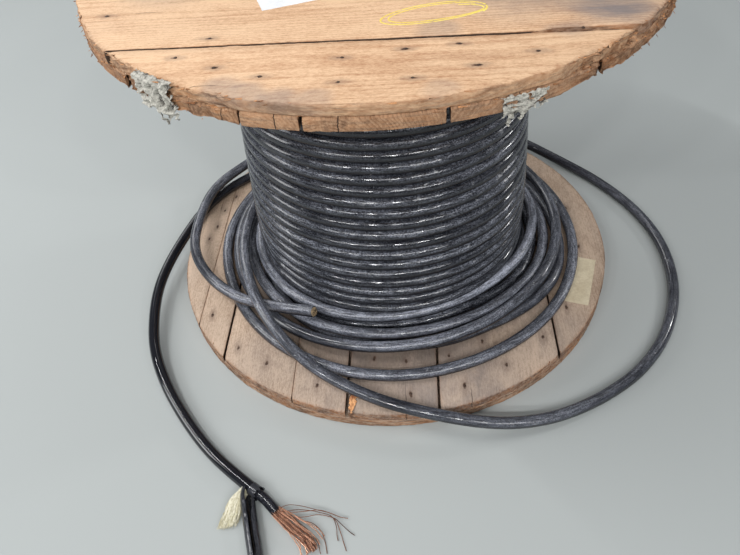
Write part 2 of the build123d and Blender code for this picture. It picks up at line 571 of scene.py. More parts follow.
@dataclass(frozen=True)
class WoodFinish:
    """Weathered softwood, grown in rings round a pith line that lies off the board.

    The pattern is solid: long streaks show along the grain and arcs on the sawn ends.
    """

    name: str
    grain: Grain
    light: Colour
    dark: Colour
    stain: Colour
    pith: tuple[float, float] = (0.0, -0.07)
    ring_width: float = 0.0045
    weathering: float = 0.5
    seed: float = 0.0
    nails: tuple[Point, ...] = ()
    patches: tuple[tuple[Point, float, float], ...] = ()
    rings: float = 0.5
    nail_stain: float = 1.0
    splits: tuple[float, ...] = ()
    scars: tuple[tuple[float, float, float, float], ...] = ()
    grime_and_shade_to: float = 0.0
    bruised: Colour = field(default_factory=lambda: srgb(156, 104, 64))

    def build(self) -> bpy.types.Material:
        """Make the material.

        Returns:
            The wood material, ready to be given to a board.
        """
        g = Graph(self.name)
        x, y, z = g.split(g.object_coordinates())
        along, across, up = {
            Grain.ALONG_X: (x, y, z), Grain.ALONG_Y: (y, x, z), Grain.ALONG_Z: (z, x, y)
        }[self.grain]
        grown = g.place(g.join(along, across, up), move=(self.seed * 1.7, self.seed * 0.9, self.seed * 0.4))
        late = self.late_wood(g, grown, across, up)
        fibre = g.drawn(grown, (14.0, 420.0, 420.0), 3.0, 0.6)
        fuzz = g.drawn(grown, (150.0, 380.0, 380.0), 3.0, 0.8)
        streak = g.drawn(grown, (1.6, 46.0, 46.0), 3.0, 0.6)
        blotch = g.drawn(grown, (3.0, 6.0, 6.0), 4.0, 0.6, 0.6)
        cloud = g.drawn(grown, (11.0, 24.0, 24.0), 4.0, 0.65, 0.5)
        grime = g.drawn(grown, (1.6, 3.2, 3.2), 5.0, 0.62, 0.4, move=(3.1, 1.7, 0.0))
        check = g.drawn(grown, (7.0, 170.0, 60.0), 2.0, 0.5, move=(0.4, 2.3, 0.9))
        tone = g.plus(
            g.times(late, g.span(streak, 0.25, 0.75, 0.25 * self.rings, self.rings)),
            g.span(fibre, 0.3, 0.75, -0.12, 0.22), g.span(fuzz, 0.40, 0.66, -0.20, 0.34),
            g.span(cloud, 0.34, 0.68, -0.12, 0.30), g.span(blotch, 0.35, 0.7, -0.12, 0.25), clamp=True,
        )
        grey = g.span(grime, 0.60 - 0.25 * self.weathering, 0.78, 0.0, 0.15 + 0.65 * self.weathering, soft=True)
        grey = g.times(grey, g.span(fuzz, 0.30, 0.60, 0.55, 1.0))
        colour = g.mix(grey, g.mix(tone, self.light, self.dark), self.stain)
        colour = self.soak(g, colour, grime, cloud)
        # grime and painted shade: the wood inside this radius, under and between the cable turns, is darkened
        if self.grime_and_shade_to:
            reach = g.plus(g.vector("LENGTH", g.join(x, y, 0.0)), g.rescale(cloud, 0.10, -0.05))
            colour = g.mix(g.span(reach, self.grime_and_shade_to, self.grime_and_shade_to + 0.05, 0.62, 0.0, soft=True), colour, GRIME_AND_SHADE)
        split = g.span(check, 0.735, 0.775, 0.0, 0.75, soft=True)
        colour = g.mix(split, colour, DRY_CHECK)
        height = g.plus(g.times(fibre, 0.5), g.times(late, -0.35 * self.rings), g.times(fuzz, 0.6),
                        g.times(split, -1.6))
        speck = g.drawn(grown, (60.0, 160.0, 160.0), 3.0, 0.7)
        colour = self.bruise(g, colour, grown, cloud, speck)
        colour = self.crack(g, colour, grown, along, across)
        colour, height = self.scar(g, colour, height, grown, along, across, speck)
        if self.nails:
            colour = self.stain_round_nails(g, colour, g.noise(grown, 90.0, 3.0))
        g.set(Base_Color=colour, Roughness=g.span(g.plus(tone, grey), 0.0, 1.4, 0.62, 0.86),
              Specular_IOR_Level=0.28, Normal=g.bump(height, 0.0009, 0.9))
        return g.material

    def late_wood(self, g: Graph, grown: Socket, across: Socket, up: Socket) -> Socket:
        """The dark part of each year's ring, from 0 to 1, round the pith line.

        Args:
            g: the material's graph.
            grown: the place in the tree.
            across, up: the place across the grain.

        Returns:
            The late wood.
        """
        wander = g.rescale(g.drawn(grown, (0.7, 5.0, 5.0), 3.0, 0.55), 0.022, -0.011)
        waver = g.rescale(g.drawn(grown, (9.0, 40.0, 40.0), 2.0), 0.0030, -0.0015)
        side, depth = g.minus(across, self.pith[0]), g.minus(up, self.pith[1])
        radius = g.plus(g.vector("LENGTH", g.join(side, depth, 0.0)), wander, waver)
        phase = g.math("FRACT", g.math("DIVIDE", radius, self.ring_width))
        return g.ramp(phase, [(place, (tone, tone, tone, 1)) for place, tone in
                              ((0.0, 0.0), (0.45, 0.12), (0.82, 1.0), (0.93, 0.75), (1.0, 0.0))])

    def soak(self, g: Graph, colour: Socket, grime: Socket, cloud: Socket) -> Socket:
        """Grey the wood where water has stood on it.

        Args:
            g: the material's graph.
            colour: the wood's colour so far.
            grime, cloud: noises that break up the stain.

        Returns:
            The stained colour.
        """
        for spot, reach, strength in self.patches:
            far = g.plus(g.vector("DISTANCE", g.object_coordinates(), spot), g.rescale(grime, 0.12, -0.06))
            soaked = g.times(g.span(far, reach * 0.30, reach, strength, 0.0, soft=True),
                             g.span(cloud, 0.30, 0.60, 0.50, 1.0))
            colour = g.mix(soaked, colour, WATER_STAIN)
        return colour

    def bruise(self, g: Graph, colour: Socket, grown: Socket, cloud: Socket, speck: Socket) -> Socket:
        """Show the rubbed and broken wood of edges, and the painted shade inside the joints.

        Args:
            g: the material's graph.
            colour: the wood's colour so far.
            grown: the place in the tree.
            cloud, speck: noises that break up the wear.

        Returns:
            The worn colour.
        """
        worn = g.attribute("worn", "Fac")
        hurt = g.times(g.math("MINIMUM", worn, 1.0), g.span(speck, 0.36, 0.60, 0.45, 1.0))
        groove = g.drawn(grown, (18.0, 18.0, 330.0), 3.0, 0.6)
        torn = g.math("MAXIMUM", g.span(cloud, 0.42, 0.64), g.span(groove, 0.48, 0.58))
        colour = g.mix(g.times(hurt, 0.90), colour, g.mix(torn, self.bruised, TORN_FIBRE))
        # painted shade: the faces deep inside the joints are darkened
        return g.mix(g.span(worn, 1.2, 1.9, 0.0, 0.92), colour, JOINT_SHADE)

    def crack(self, g: Graph, colour: Socket, grown: Socket, along: Socket, across: Socket) -> Socket:
        """Draw the splits that run in from the boards' ends.

        Args:
            g: the material's graph.
            colour: the wood's colour so far.
            grown: the place in the tree.
            along, across: the place on the board.

        Returns:
            The split colour.
        """
        for place in self.splits:
            stray = g.drawn(grown, (16.0, 2.0, 60.0), 3.0, 0.6)
            off = g.size(g.plus(g.minus(across, place), g.rescale(stray, 0.010, -0.005)))
            line, fade = g.span(off, 0.0004, 0.0010, 0.95, 0.0), g.span(g.size(along), 0.38, 0.43)
            colour = g.mix(g.times(line, fade), colour, SPLIT_SHADE)
        return colour

    def scar(self, g: Graph, colour: Socket, height: Socket, grown: Socket, along: Socket, across: Socket,
             speck: Socket) -> tuple[Socket, Socket]:
        """Tear out the fresh flakes: bright wood in a dark edge, a little sunk.

        Args:
            g: the material's graph.
            colour, height: the wood so far.
            grown: the place in the tree.
            along, across: the place on the board.
            speck: noise that breaks up the fresh wood.

        Returns:
            The colour and the height, with the flakes in them.
        """
        for along_at, across_at, long, wide in self.scars:
            reach = g.vector("LENGTH", g.join(g.math("DIVIDE", g.minus(along, along_at), long),
                                              g.math("DIVIDE", g.minus(across, across_at), wide), 0.0))
            away = g.plus(reach, g.rescale(g.noise(grown, 120.0, 3.0), 1.2, -0.6))
            fresh = g.mix(g.span(speck, 0.42, 0.62), FRESH_WOOD, FRESH_SHADE)
            colour = g.mix(g.span(away, 0.86, 0.98, 0.95, 0.0), colour, fresh)
            colour = g.mix(g.span(g.size(g.minus(away, 1.0)), 0.02, 0.16, 0.70, 0.0), colour, FLAKE_EDGE)
            height = g.plus(height, g.span(away, 0.80, 1.0, -1.8, 0.0))
        return colour, height

    def stain_round_nails(self, g: Graph, colour: Socket, ragged: Socket) -> Socket:
        """Darken the wood round each nail, drawn out along the grain.

        Args:
            g: the material's graph.
            colour: the wood's colour so far.
            ragged: noise that breaks up the stain's outline.

        Returns:
            The stained colour.
        """
        stretch = {Grain.ALONG_X: (0.45, 1.0, 0.6), Grain.ALONG_Y: (1.0, 0.45, 0.6), Grain.ALONG_Z: (1.0, 1.0, 0.45)}
        scale = stretch[self.grain]
        here = g.place(g.object_coordinates(), scale=scale)
        nearest = None
        for nail in self.nails:
            spot = tuple(a * b for a, b in zip(nail, scale))
            gap = g.vector("DISTANCE", here, spot)
            nearest = gap if nearest is None else g.math("MINIMUM", nearest, gap)
        nearest = g.plus(nearest, g.rescale(ragged, 0.009, -0.0045))
        wide = self.nail_stain * 0.9
        halo = g.span(nearest, 0.0030 * wide, 0.0110 * wide, 0.36, 0.0, soft=True)
        colour = g.mix(halo, colour, RUST_HALO)
        core = g.span(nearest, 0.0010 * wide, 0.0034 * wide, 0.92, 0.0, soft=True)
        return g.mix(core, colour, RUST)


@dataclass(frozen=True)
class JacketFinish:
    """Black cable jacket: scuffed along its length, with dust where it faces up and painted highlight dashes on its
    upper side.
    """

    name: str
    dust: float
    clean_from: float = 1000.0
    clean_at: float = 1001.0
    fresher_from: float = 1000.0
    dustier_to: float = -1.0
    satin: float = 0.0
    polish: float = 1.0
    tint: Colour = field(default_factory=lambda: srgb(18, 19, 25))
    powder: Colour = field(default_factory=lambda: srgb(184, 189, 204))

    def build(self) -> bpy.types.Material:
        """Make the material.

        Returns:
            A jacket material that reads the tube's own "skin" coordinates.
        """
        g = Graph(self.name)
        skin = g.attribute("skin")
        along = g.split(skin)[2]
        up = g.facing_up()
        scuff = g.drawn(skin, (260.0, 260.0, 34.0), 4.0, 0.7)
        speckle = g.drawn(skin, (520.0, 520.0, 330.0), 3.0, 0.8)
        drift = g.drawn(skin, (30.0, 30.0, 3.5), 4.0, 0.6)
        dash = g.drawn(skin, (90.0, 90.0, 42.0), 3.0, 0.65, move=(3.0, 1.0, 7.0))
        dents = g.drawn(skin, (40.0, 40.0, 24.0), 2.0, 0.5)
        dusty = g.times(
            g.span(along, self.clean_from, self.clean_at, self.dust, self.dust * 0.06),
            g.span(along, self.fresher_from, self.fresher_from + 0.8, 1.0, 0.50),
            g.span(along, self.dustier_to, self.dustier_to + 0.6, 1.9, 1.0),
        )
        powder = g.times(
            g.span(up, -0.30, 0.75, 0.04, 1.0, soft=True), g.span(drift, 0.36, 0.64, 0.20, 1.0),
            g.span(scuff, 0.40, 0.60, 0.22 + 0.22 * self.satin, 1.0),
            g.span(speckle, 0.44, 0.58, 0.12 + 0.48 * self.satin, 1.0), dusty, clamp=True,
        )
        # painted highlight: near-white dashes on the up-facing side stand in for the lamps' broken glints
        painted_glint = g.times(g.span(dash, 0.66, 0.71), g.span(up, 0.2, 0.8, 0.0, 0.65), g.span(dusty, 0.0, 0.8))
        colour = g.mix(painted_glint, g.mix(powder, self.tint, self.powder), GLINT_WHITE)
        rough = g.plus(g.span(powder, 0.04, 0.5, 0.12, 0.38),
                       g.times(g.span(dash, 0.44, 0.56, 0.0, 0.13), g.span(dusty, 0.0, 0.5, 0.1, 1.0)))
        rough = g.times(rough, g.span(dusty, 0.05, 0.30, 0.60 * self.polish, self.polish))
        scratches = g.times(scuff, g.span(dusty, 0.0, 0.4, 0.1, 1.0))
        normal = g.bump(scratches, 0.00022, 0.45, g.bump(dents, 0.0007, 0.5))
        g.set(Base_Color=colour, Roughness=rough, Specular_IOR_Level=0.62, Normal=normal)
        return g.material


@dataclass(frozen=True)
class PlainFinish:
    """A simple surface broken up by noise: two tones, a roughness range and a fine bump."""

    name: str
    light: Colour
    dark: Colour
    scale: float = 60.0
    rough: tuple[float, float] = (0.5, 0.8)
    metallic: float = 0.0
    bump: float = 0.0003

    def build(self) -> bpy.types.Material:
        """Make the material.

        Returns:
            The finished material.
        """
        g = Graph(self.name)
        here = g.object_coordinates()
        broad = g.noise(here, self.scale, 5.0, 0.65, 0.3)
        fine = g.noise(here, self.scale * 9, 3.0, 0.7)
        share = g.plus(g.span(broad, 0.3, 0.7, 0.0, 0.8), g.span(fine, 0.35, 0.7, -0.1, 0.3), clamp=True)
        g.set(Base_Color=g.mix(share, self.light, self.dark), Roughness=g.span(broad, 0.3, 0.7, *self.rough),
              Metallic=self.metallic, Normal=g.bump(g.plus(broad, fine), self.bump, 0.8))
        return g.material


@dataclass(frozen=True)
class TonedFinish:
    """A surface of many small shapes, each toned by its own "tone" attribute."""

    name: str
    light: Colour
    dark: Colour
    rough: tuple[float, float] = (0.3, 0.5)
    metallic: float = 0.0
    grit: float = 900.0
    spread: float = 0.35
    bump: float = 0.0002

    def build(self) -> bpy.types.Material:
        """Make the material.

        Returns:
            The finished material.
        """
        g = Graph(self.name)
        speckle = g.noise(g.object_coordinates(), self.grit, 3.0, 0.6)
        tone = g.plus(g.attribute("tone", "Fac"), g.span(speckle, 0.3, 0.7, -self.spread, self.spread),
                      clamp=True)
        g.set(Base_Color=g.mix(tone, self.light, self.dark), Roughness=g.span(tone, 0.0, 1.0, *self.rough),
              Metallic=self.metallic, Specular_IOR_Level=0.3, Normal=g.bump(speckle, self.bump, 0.7))
        return g.material


# Many small shapes in one piece


class Pile:
    """Small closed shapes gathered into one mesh, each with its own tone from 0 to 1."""

    def __init__(self) -> None:
        """Start an empty pile."""
        self.points: list[tuple[float, float, float]] = []
        self.faces: list[list[int]] = []
        self.tones: list[float] = []

    def strand(
        self, line: np.ndarray, radii: np.ndarray, sides: int, tone: float, flat: float = 1.0, roll: float = 0.0
    ) -> None:
        """Add a thin rod along a line.

        Args:
            line: the points of its centre line.
            radii: its radius at each point.
            sides: corners of its section.
            tone: its tone.
            flat: height of its section as a share of its width.
            roll: how far its section is turned, in radians.
        """
        tangents = headings(line)
        start = np.cross(tangents[0], (0.0, 0.0, 1.0) if abs(tangents[0][2]) < 0.9 else (1.0, 0.0, 0.0))
        across = [start / np.linalg.norm(start)]
        for tangent in tangents[1:]:
            side = across[-1] - tangent * np.dot(across[-1], tangent)
            across.append(side / np.linalg.norm(side))
        first = np.array(across)
        second = np.cross(tangents, first)
        first, second = (
            first * math.cos(roll) + second * math.sin(roll), second * math.cos(roll) - first * math.sin(roll)
        )
        angles = np.linspace(0, 2 * math.pi, sides, endpoint=False)
        ring = first[:, None, :] * np.cos(angles)[None, :, None]
        ring = ring + second[:, None, :] * (flat * np.sin(angles))[None, :, None]
        points = (line[:, None, :] + ring * np.asarray(radii)[:, None, None]).reshape(-1, 3)
        base, count = len(self.points), len(line)
        for row in range(count - 1):
            for k in range(sides):
                here, after = base + row * sides + k, base + row * sides + (k + 1) % sides
                self.faces.append([here, after, after + sides, here + sides])
        last = base + (count - 1) * sides
        self.faces.append(list(reversed(range(base, base + sides))))
        self.faces.append(list(range(last, last + sides)))
        self.points += [tuple(p) for p in points]
        self.tones += [tone] * len(points)

    def piece(self, name: str, angle: float = 50.0) -> bpy.types.Object:
        """Make the pile one object.

        Args:
            name: its name.
            angle: edges sharper than this stay sharp, in degrees.

        Returns:
            The object, with its "tone" attribute.
        """
        piece = add_mesh(name, np.array(self.points), self.faces)
        mark(piece, "tone", self.tones)
        smooth(piece, angle)
        return piece


def bend_through(points: Sequence[Sequence[float]], count: int) -> np.ndarray:
    """A smooth line of evenly stepped points through a few given ones (Catmull-Rom).

    Args:
        points: the points that it passes through.
        count: how many points it gets.

    Returns:
        The points as rows.
    """
    given = np.array(points, float)
    padded = np.vstack([2 * given[0] - given[1], given, 2 * given[-1] - given[-2]])
    places = np.linspace(0, len(given) - 1, count)
    line = []
    for place in places:
        k = min(int(place), len(given) - 2)
        t = place - k
        a, b, c, d = padded[k:k + 4]
        line.append(0.5 * (2 * b + (c - a) * t + (2 * a - 5 * b + 4 * c - d) * t * t
                           + (3 * b - a - 3 * c + d) * t**3))
    return np.array(line)


def stamp(master: bpy.types.Object, places: Sequence[Matrix], name: str) -> bpy.types.Object:
    """Copy a modelled shape to many places, each copy with its own mesh, and join the copies.

    Args:
        master: the shape; it is used up.
        places: where each copy goes.
        name: the joined piece's name.

    Returns:
        The joined piece.
    """
    clear_selection()
    copies = []
    for place in places:
        mesh = master.data.copy()
        mesh.transform(place)
        copy = link(name, mesh)
        copy.select_set(True)
        copies.append(copy)
    bpy.context.view_layer.objects.active = copies[0]
    bpy.ops.object.join()
    bpy.data.objects.remove(master)
    return bpy.context.object


# Tubes


def spline_line(name: str, points: Sequence[Vector], fine: int = 12) -> list[Vector]:
    """Read a smooth line through a route, taken as the control points of a NURBS spline.

    Args:
        name: a name for the curve.
        points: the route, in metres.
        fine: steps between two control points.

    Returns:
        The points of the smooth line, from its first to its last.
    """
    curve = bpy.data.curves.new(name, "CURVE")
    curve.dimensions = "3D"
    spline = curve.splines.new("NURBS")
    spline.points.add(len(points) - 1)
    for control, point in zip(spline.points, points):
        control.co = (*point, 1.0)
    spline.order_u = 3
    spline.use_endpoint_u = True
    curve.resolution_u = fine
    thread = link(name, curve)
    bpy.context.view_layer.update()
    mesh = bpy.data.meshes.new_from_object(thread.evaluated_get(bpy.context.evaluated_depsgraph_get()))
    line = [vertex.co.copy() for vertex in mesh.vertices]
    bpy.data.objects.remove(thread)
    bpy.data.meshes.remove(mesh)
    return line


def sweep(
    name: str,
    line: Sequence[Vector],
    radius: float,
    sides: int,
    start_at: float = 0.0,
) -> bpy.types.Object:
    """Sweep a round section along a line, with "skin" coordinates of the cable laid straight.

    Args:
        name: the piece's name.
        line: the centre line, in metres.
        radius: the tube's radius.
        sides: corners of the section.
        start_at: how far along the cable the line starts, so that patterns run on.

    Returns:
        The closed tube.
    """
    middle = np.array([tuple(p) for p in line])
    steps = np.linalg.norm(np.diff(middle, axis=0), axis=1)
    along = start_at + np.concatenate([[0.0], np.cumsum(steps)])
    side, lift = level_frame(headings(middle))
    angles = np.linspace(0, 2 * math.pi, sides, endpoint=False)
    count = len(middle)
    ring = side[:, None, :] * np.cos(angles)[None, :, None] + lift[:, None, :] * np.sin(angles)[None, :, None]
    vertices = (middle[:, None, :] + ring * radius).reshape(-1, 3)
    skin = np.stack([
        np.broadcast_to(radius * np.cos(angles), (count, sides)),
        np.broadcast_to(radius * np.sin(angles), (count, sides)),
        np.broadcast_to(along[:, None], (count, sides)),
    ], axis=-1).reshape(-1, 3)
    first = np.arange(count - 1)[:, None] * sides
    here = np.arange(sides)[None, :]
    after = (np.arange(sides)[None, :] + 1) % sides
    faces = np.stack([first + here, first + after, first + sides + after, first + sides + here], axis=-1)
    faces = [tuple(f) for f in faces.reshape(-1, 4)[:, ::-1]]
    last = (count - 1) * sides
    faces += [tuple(range(sides)), tuple(reversed(range(last, last + sides)))]
    piece = add_mesh(name, vertices, faces)
    mark(piece, "skin", skin)
    outward(piece)
    smooth(piece, 50.0)
    return piece


def polar(rows: Sequence[tuple[float, float, float]], spread: float = 1.0) -> list[Vector]:
    """Points in metres from rows of angle in degrees, radius and height in millimetres.

    Args:
        rows: angle, radius and height of each point.
        spread: factor on the radii.

    Returns:
        The points.
    """
    return [
        Vector((r * spread * math.cos(math.radians(a)), r * spread * math.sin(math.radians(a)), z)) * MM
        for a, r, z in rows
    ]


# The loose cables


@dataclass
class LooseCable:
    """One free cable: a route of control points and a jacket."""

    name: str
    node: str
    route: list[Vector]
    length: float
    finish: JacketFinish
    lay: str = "loose"
    diameter: float = CABLE
    sides: int = 16

    def build(self) -> bpy.types.Object:
        """Lay the cable as a tube along its smooth line.

        Returns:
            The dressed tube.
        """
        self.line = spline_line(f"{self.name}_line", self.route, 10)
        piece = sweep(self.name, self.line, self.diameter / 2, self.sides)
        dress(piece, self.finish.build())
        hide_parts(self.node)
        return piece


SLACK_TURNS = [
    (115, 262, 95), (130, 274, 95), (160, 278, 95), (190, 282, 94), (220, 283, 94), (250, 284, 95),
    (280, 273, 95), (310, 272, 95), (340, 291, 93), (370, 309, 88), (400, 314, 82), (430, 313, 79),
    (460, 310, 76), (490, 306, 73), (520, 304, 72), (550, 303, 72), (580, 304, 72), (610, 303, 72),
    (640, 299, 72), (670, 304, 69), (700, 324, 62), (730, 329, 60), (760, 325, 58), (790, 325, 56),
    (820, 332, 53), (850, 343, 54), (880, 350, 56), (910, 337, 52), (940, 331, 52), (970, 332, 68),
    (1000, 330, 73), (1030, 330, 73), (1060, 346, 73), (1090, 360, 73), (1120, 367, 75), (1150, 362, 79),
    (1180, 346, 86), (1210, 327, 92), (1240, 315, 95), (1270, 312, 100),
]
LOOP_ROUTE = [
    (1294, 338, 112), (1308, 361, 108), (1319, 380, 88), (1329, 398, 71), (1339, 416, 60), (1349, 440, 54),
    (1358, 466, 53), (1367, 496, 44), (1375, 518, 27), (1384, 540, 15), (1394, 562, 12), (1404, 584, 11.5),
    (1415, 597, 11.5), (1427, 600, 11.5), (1439, 591, 11.5), (1450, 572, 11.5), (1463, 543, 11.5),
    (1476, 512, 16), (1488, 482, 40), (1502, 458, 57), (1518, 432, 54), (1534, 412, 51), (1552, 400, 49.8),
    (1570, 398, 49.6), (1584, 418, 49.6), (1596, 446, 50), (1607, 461, 50), (1617, 475, 45),
]
TAIL_ROUTE = [
    (-496, -62, 38), (-502, -135, 33), (-493, -210, 28), (-473, -290, 22), (-432, -368, 17),
    (-383, -436, 12.5), (-329, -499, 11.5), (-278, -545, 11.5), (-225, -584, 11.5),
]
SHORT_TURNS = [
    (210.5, 270.9, 49.6), (225, 290, 49.6), (255, 304, 49.6), (285, 315, 49.6), (310, 322, 49.6), (325, 342, 49.6),
    (340, 356, 49.6), (360, 352, 49.6), (385, 352, 49.6), (415, 356, 49.6), (445, 360, 49.6), (475, 367, 49.6),
    (505, 373, 49.6), (535, 368, 49.6), (565, 360, 49.6), (595, 369, 49.6), (625, 380, 49.6), (655, 382, 49.6),
    (685, 390, 49.6), (715, 389, 49.6), (745, 384, 49.6),
]
SHORT_ROUTE = [
    (775, 392, 50), (795, 396, 58), (812, 410, 76),
    (830, 425, 81), (850, 435, 78), (866, 439, 77), (880, 455, 77), (895, 441, 77), (908, 434, 77),
    (921, 405, 76), (933, 369, 74), (943, 335, 80), (955, 316, 101), (963, 309, 111),
]


# The winding

LOW_TURN = [
    (196, 257, 50), (206, 257, 50), (217, 262, 50), (228, 271, 50.5), (239, 270, 51), (250, 267, 51),
    (262, 264, 51.5), (274, 262, 52), (286, 262, 52), (298, 263, 52), (310, 269, 51), (318, 278, 50),
    (326, 287, 49.6), (334, 294, 49.6), (343, 300, 49.6), (356, 306, 49.6), (370, 308, 49.6), (386, 304, 49.6),
    (402, 294, 49.6), (416, 281, 49.6), (428, 269, 50), (438, 259, 52),
]
FOOT_TURN = [
    (320, 259, 50), (328, 263, 50), (336, 269, 50), (345, 275, 50), (356, 282, 50), (370, 284, 50), (386, 280, 50),
    (400, 270, 50), (415, 258, 50),
]


@dataclass
class Winding:
    """The cable on the barrel: the outer layer, the next one where it shows, and two turns at its foot."""

    barrel_radius: float = 216.2 * MM
    turn_pitch: float = 22.4 * MM
    layer_rise: float = CABLE * math.cos(math.radians(30))
    foot: float = 95.0 * MM
    foot_angle: float = 115.0
    head: float = 610.9 * MM
    low_foot: float = 49.6 * MM
    low_angle: float = 210.5
    low_head: float = 128.0 * MM
    tight_from: float = 200.0 * MM
    tight_over: float = 200.0 * MM
    drawn_in: float = 11.0 * MM
    per_turn: int = 120
    sides: int = 14

    def outside(self, height: float, layers: int) -> float:
        """Radius of a layer's centre line at a height; the layer is drawn tighter higher up."""
        rise = clamp((height - self.tight_from) / self.tight_over)
        return self.barrel_radius + CABLE / 2 + (layers - 1) * self.layer_rise - self.drawn_in * rise

    def coil(self, foot: float, head: float, angle: float, layers: int, leave: float, seed: float) -> list[Vector]:
        """Centre line of one layer from its head down to where its last turn leaves.

        Args:
            foot: height at which the last turn leaves.
            head: height of the topmost turn.
            angle: direction in degrees in which the last turn leaves.
            layers: which layer it is, counted from the barrel.
            leave: radius at which the last turn leaves.
            seed: start of the wander that keeps the turns from being perfect.

        Returns:
            Points from the head to the foot.
        """
        turns = (head - foot) / self.turn_pitch
        count = int(turns * self.per_turn)
        line = []
        for number in range(count + 1):
            left = (1 - number / count) * turns
            height = foot + left * self.turn_pitch
            radius = self.outside(height, layers)
            settle = max(0.0, 1 - left / 0.5)
            radius += (leave - radius) * ease_in(settle)
            loose = min(1.0, left * 2)
            radius += loose * (wobble(left * 3.1, seed, 0.0012) + wobble(left * 0.9, seed + 5, 0.0010))
            height += loose * (wobble(left * 2.3, seed + 9, 0.0011) + wobble(left * 7.0, seed + 2, 0.0004))
            turn = math.radians(angle - left * 360)
            line.append(Vector((radius * math.cos(turn), radius * math.sin(turn), height)))
        return line

    def build(self) -> list[bpy.types.Object]:
        """Wind both layers and lay the two low turns.

        Returns:
            The pieces; the outer layer stands for the turned solid.
        """
        finish = JacketFinish("jacket_on_the_drum", dust=0.62, polish=0.8).build()
        outer = sweep("wound_layer_outer", self.coil(self.foot, self.head, self.foot_angle, 3, 0.271, 1.0),
                      CABLE / 2, self.sides)
        inner = sweep("wound_layer_inner", self.coil(self.low_foot, self.low_head, self.low_angle, 2, 0.2805, 4.0),
                      CABLE / 2, self.sides, 60.0)
        layers = [outer, inner]
        for number, (name, rows) in enumerate((("wound_turn_low", LOW_TURN), ("wound_turn_foot", FOOT_TURN))):
            line = spline_line(f"{name}_line", polar(rows), 10)
            layers.append(sweep(name, line, CABLE / 2, self.sides, 75.0 + 5 * number))
        for layer in layers:
            dress(layer, finish)
        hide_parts("wound_cable")
        return layers


# The flanges


EDGE_REACH = 5 * MM
CHIP_REACH = 10 * MM
WEAR_FADE = 4.0
# worn value that paints shade on the faces inside a joint
JOINT_SHADE_LEVEL = 2.0
GRITS = (
    ("edge", 0.050, 0.0036, "edge"), ("bite", 0.010, 0.0030, "edge"),
    ("chips", 0.022, 0.0095, "chips"), ("crumbs", 0.008, 0.0028, "chips"),
)


@dataclass
class Wear:
    """How far a rim is worn between two directions, in degrees, and how deep the chips go."""

    start: float
    end: float
    depth: float


@dataclass
class Joint:
    """An open joint between two boards: its place and gap in millimetres, and how its two sides slant.

    The step is how far the far side draws back beyond a place along the grain.
    """

    place: float
    gap: float
    slant_before: float = 0.0
    slant_after: float = 0.0
    step_after: float = 0.0


@dataclass
class SawLine:
    """A saw cut: its place across the grain half way along it, its slant, and a step near its far end."""

    place: float
    slant: float = 0.0
    at_rim: bool = False
    step: float = 0.0
    step_from: float = 205.0 * MM
    step_over: float = 35.0 * MM

    def at(self, along: float) -> float:
        """Place of the cut across the grain, at a place along it."""
        share = clamp((along - self.step_from) / self.step_over)
        return self.place + self.slant * along + self.step * ease_in(share)

    def meets(self, radius: float, side: int) -> float:
        """Direction in radians at which the cut leaves the round, on one side or the other.

        Args:
            radius: of the round.
            side: 1 or -1 along the grain.

        Returns:
            The direction.
        """
        if self.at_rim:
            return math.copysign(math.pi / 2, self.place)
        place = self.place + (self.step if side > 0 else 0.0)
        square = 1 + self.slant**2
        half = place * self.slant
        reach = (-half + side * math.sqrt(half**2 - square * (place**2 - radius**2))) / square
        return math.atan2(place + self.slant * reach, abs(reach))


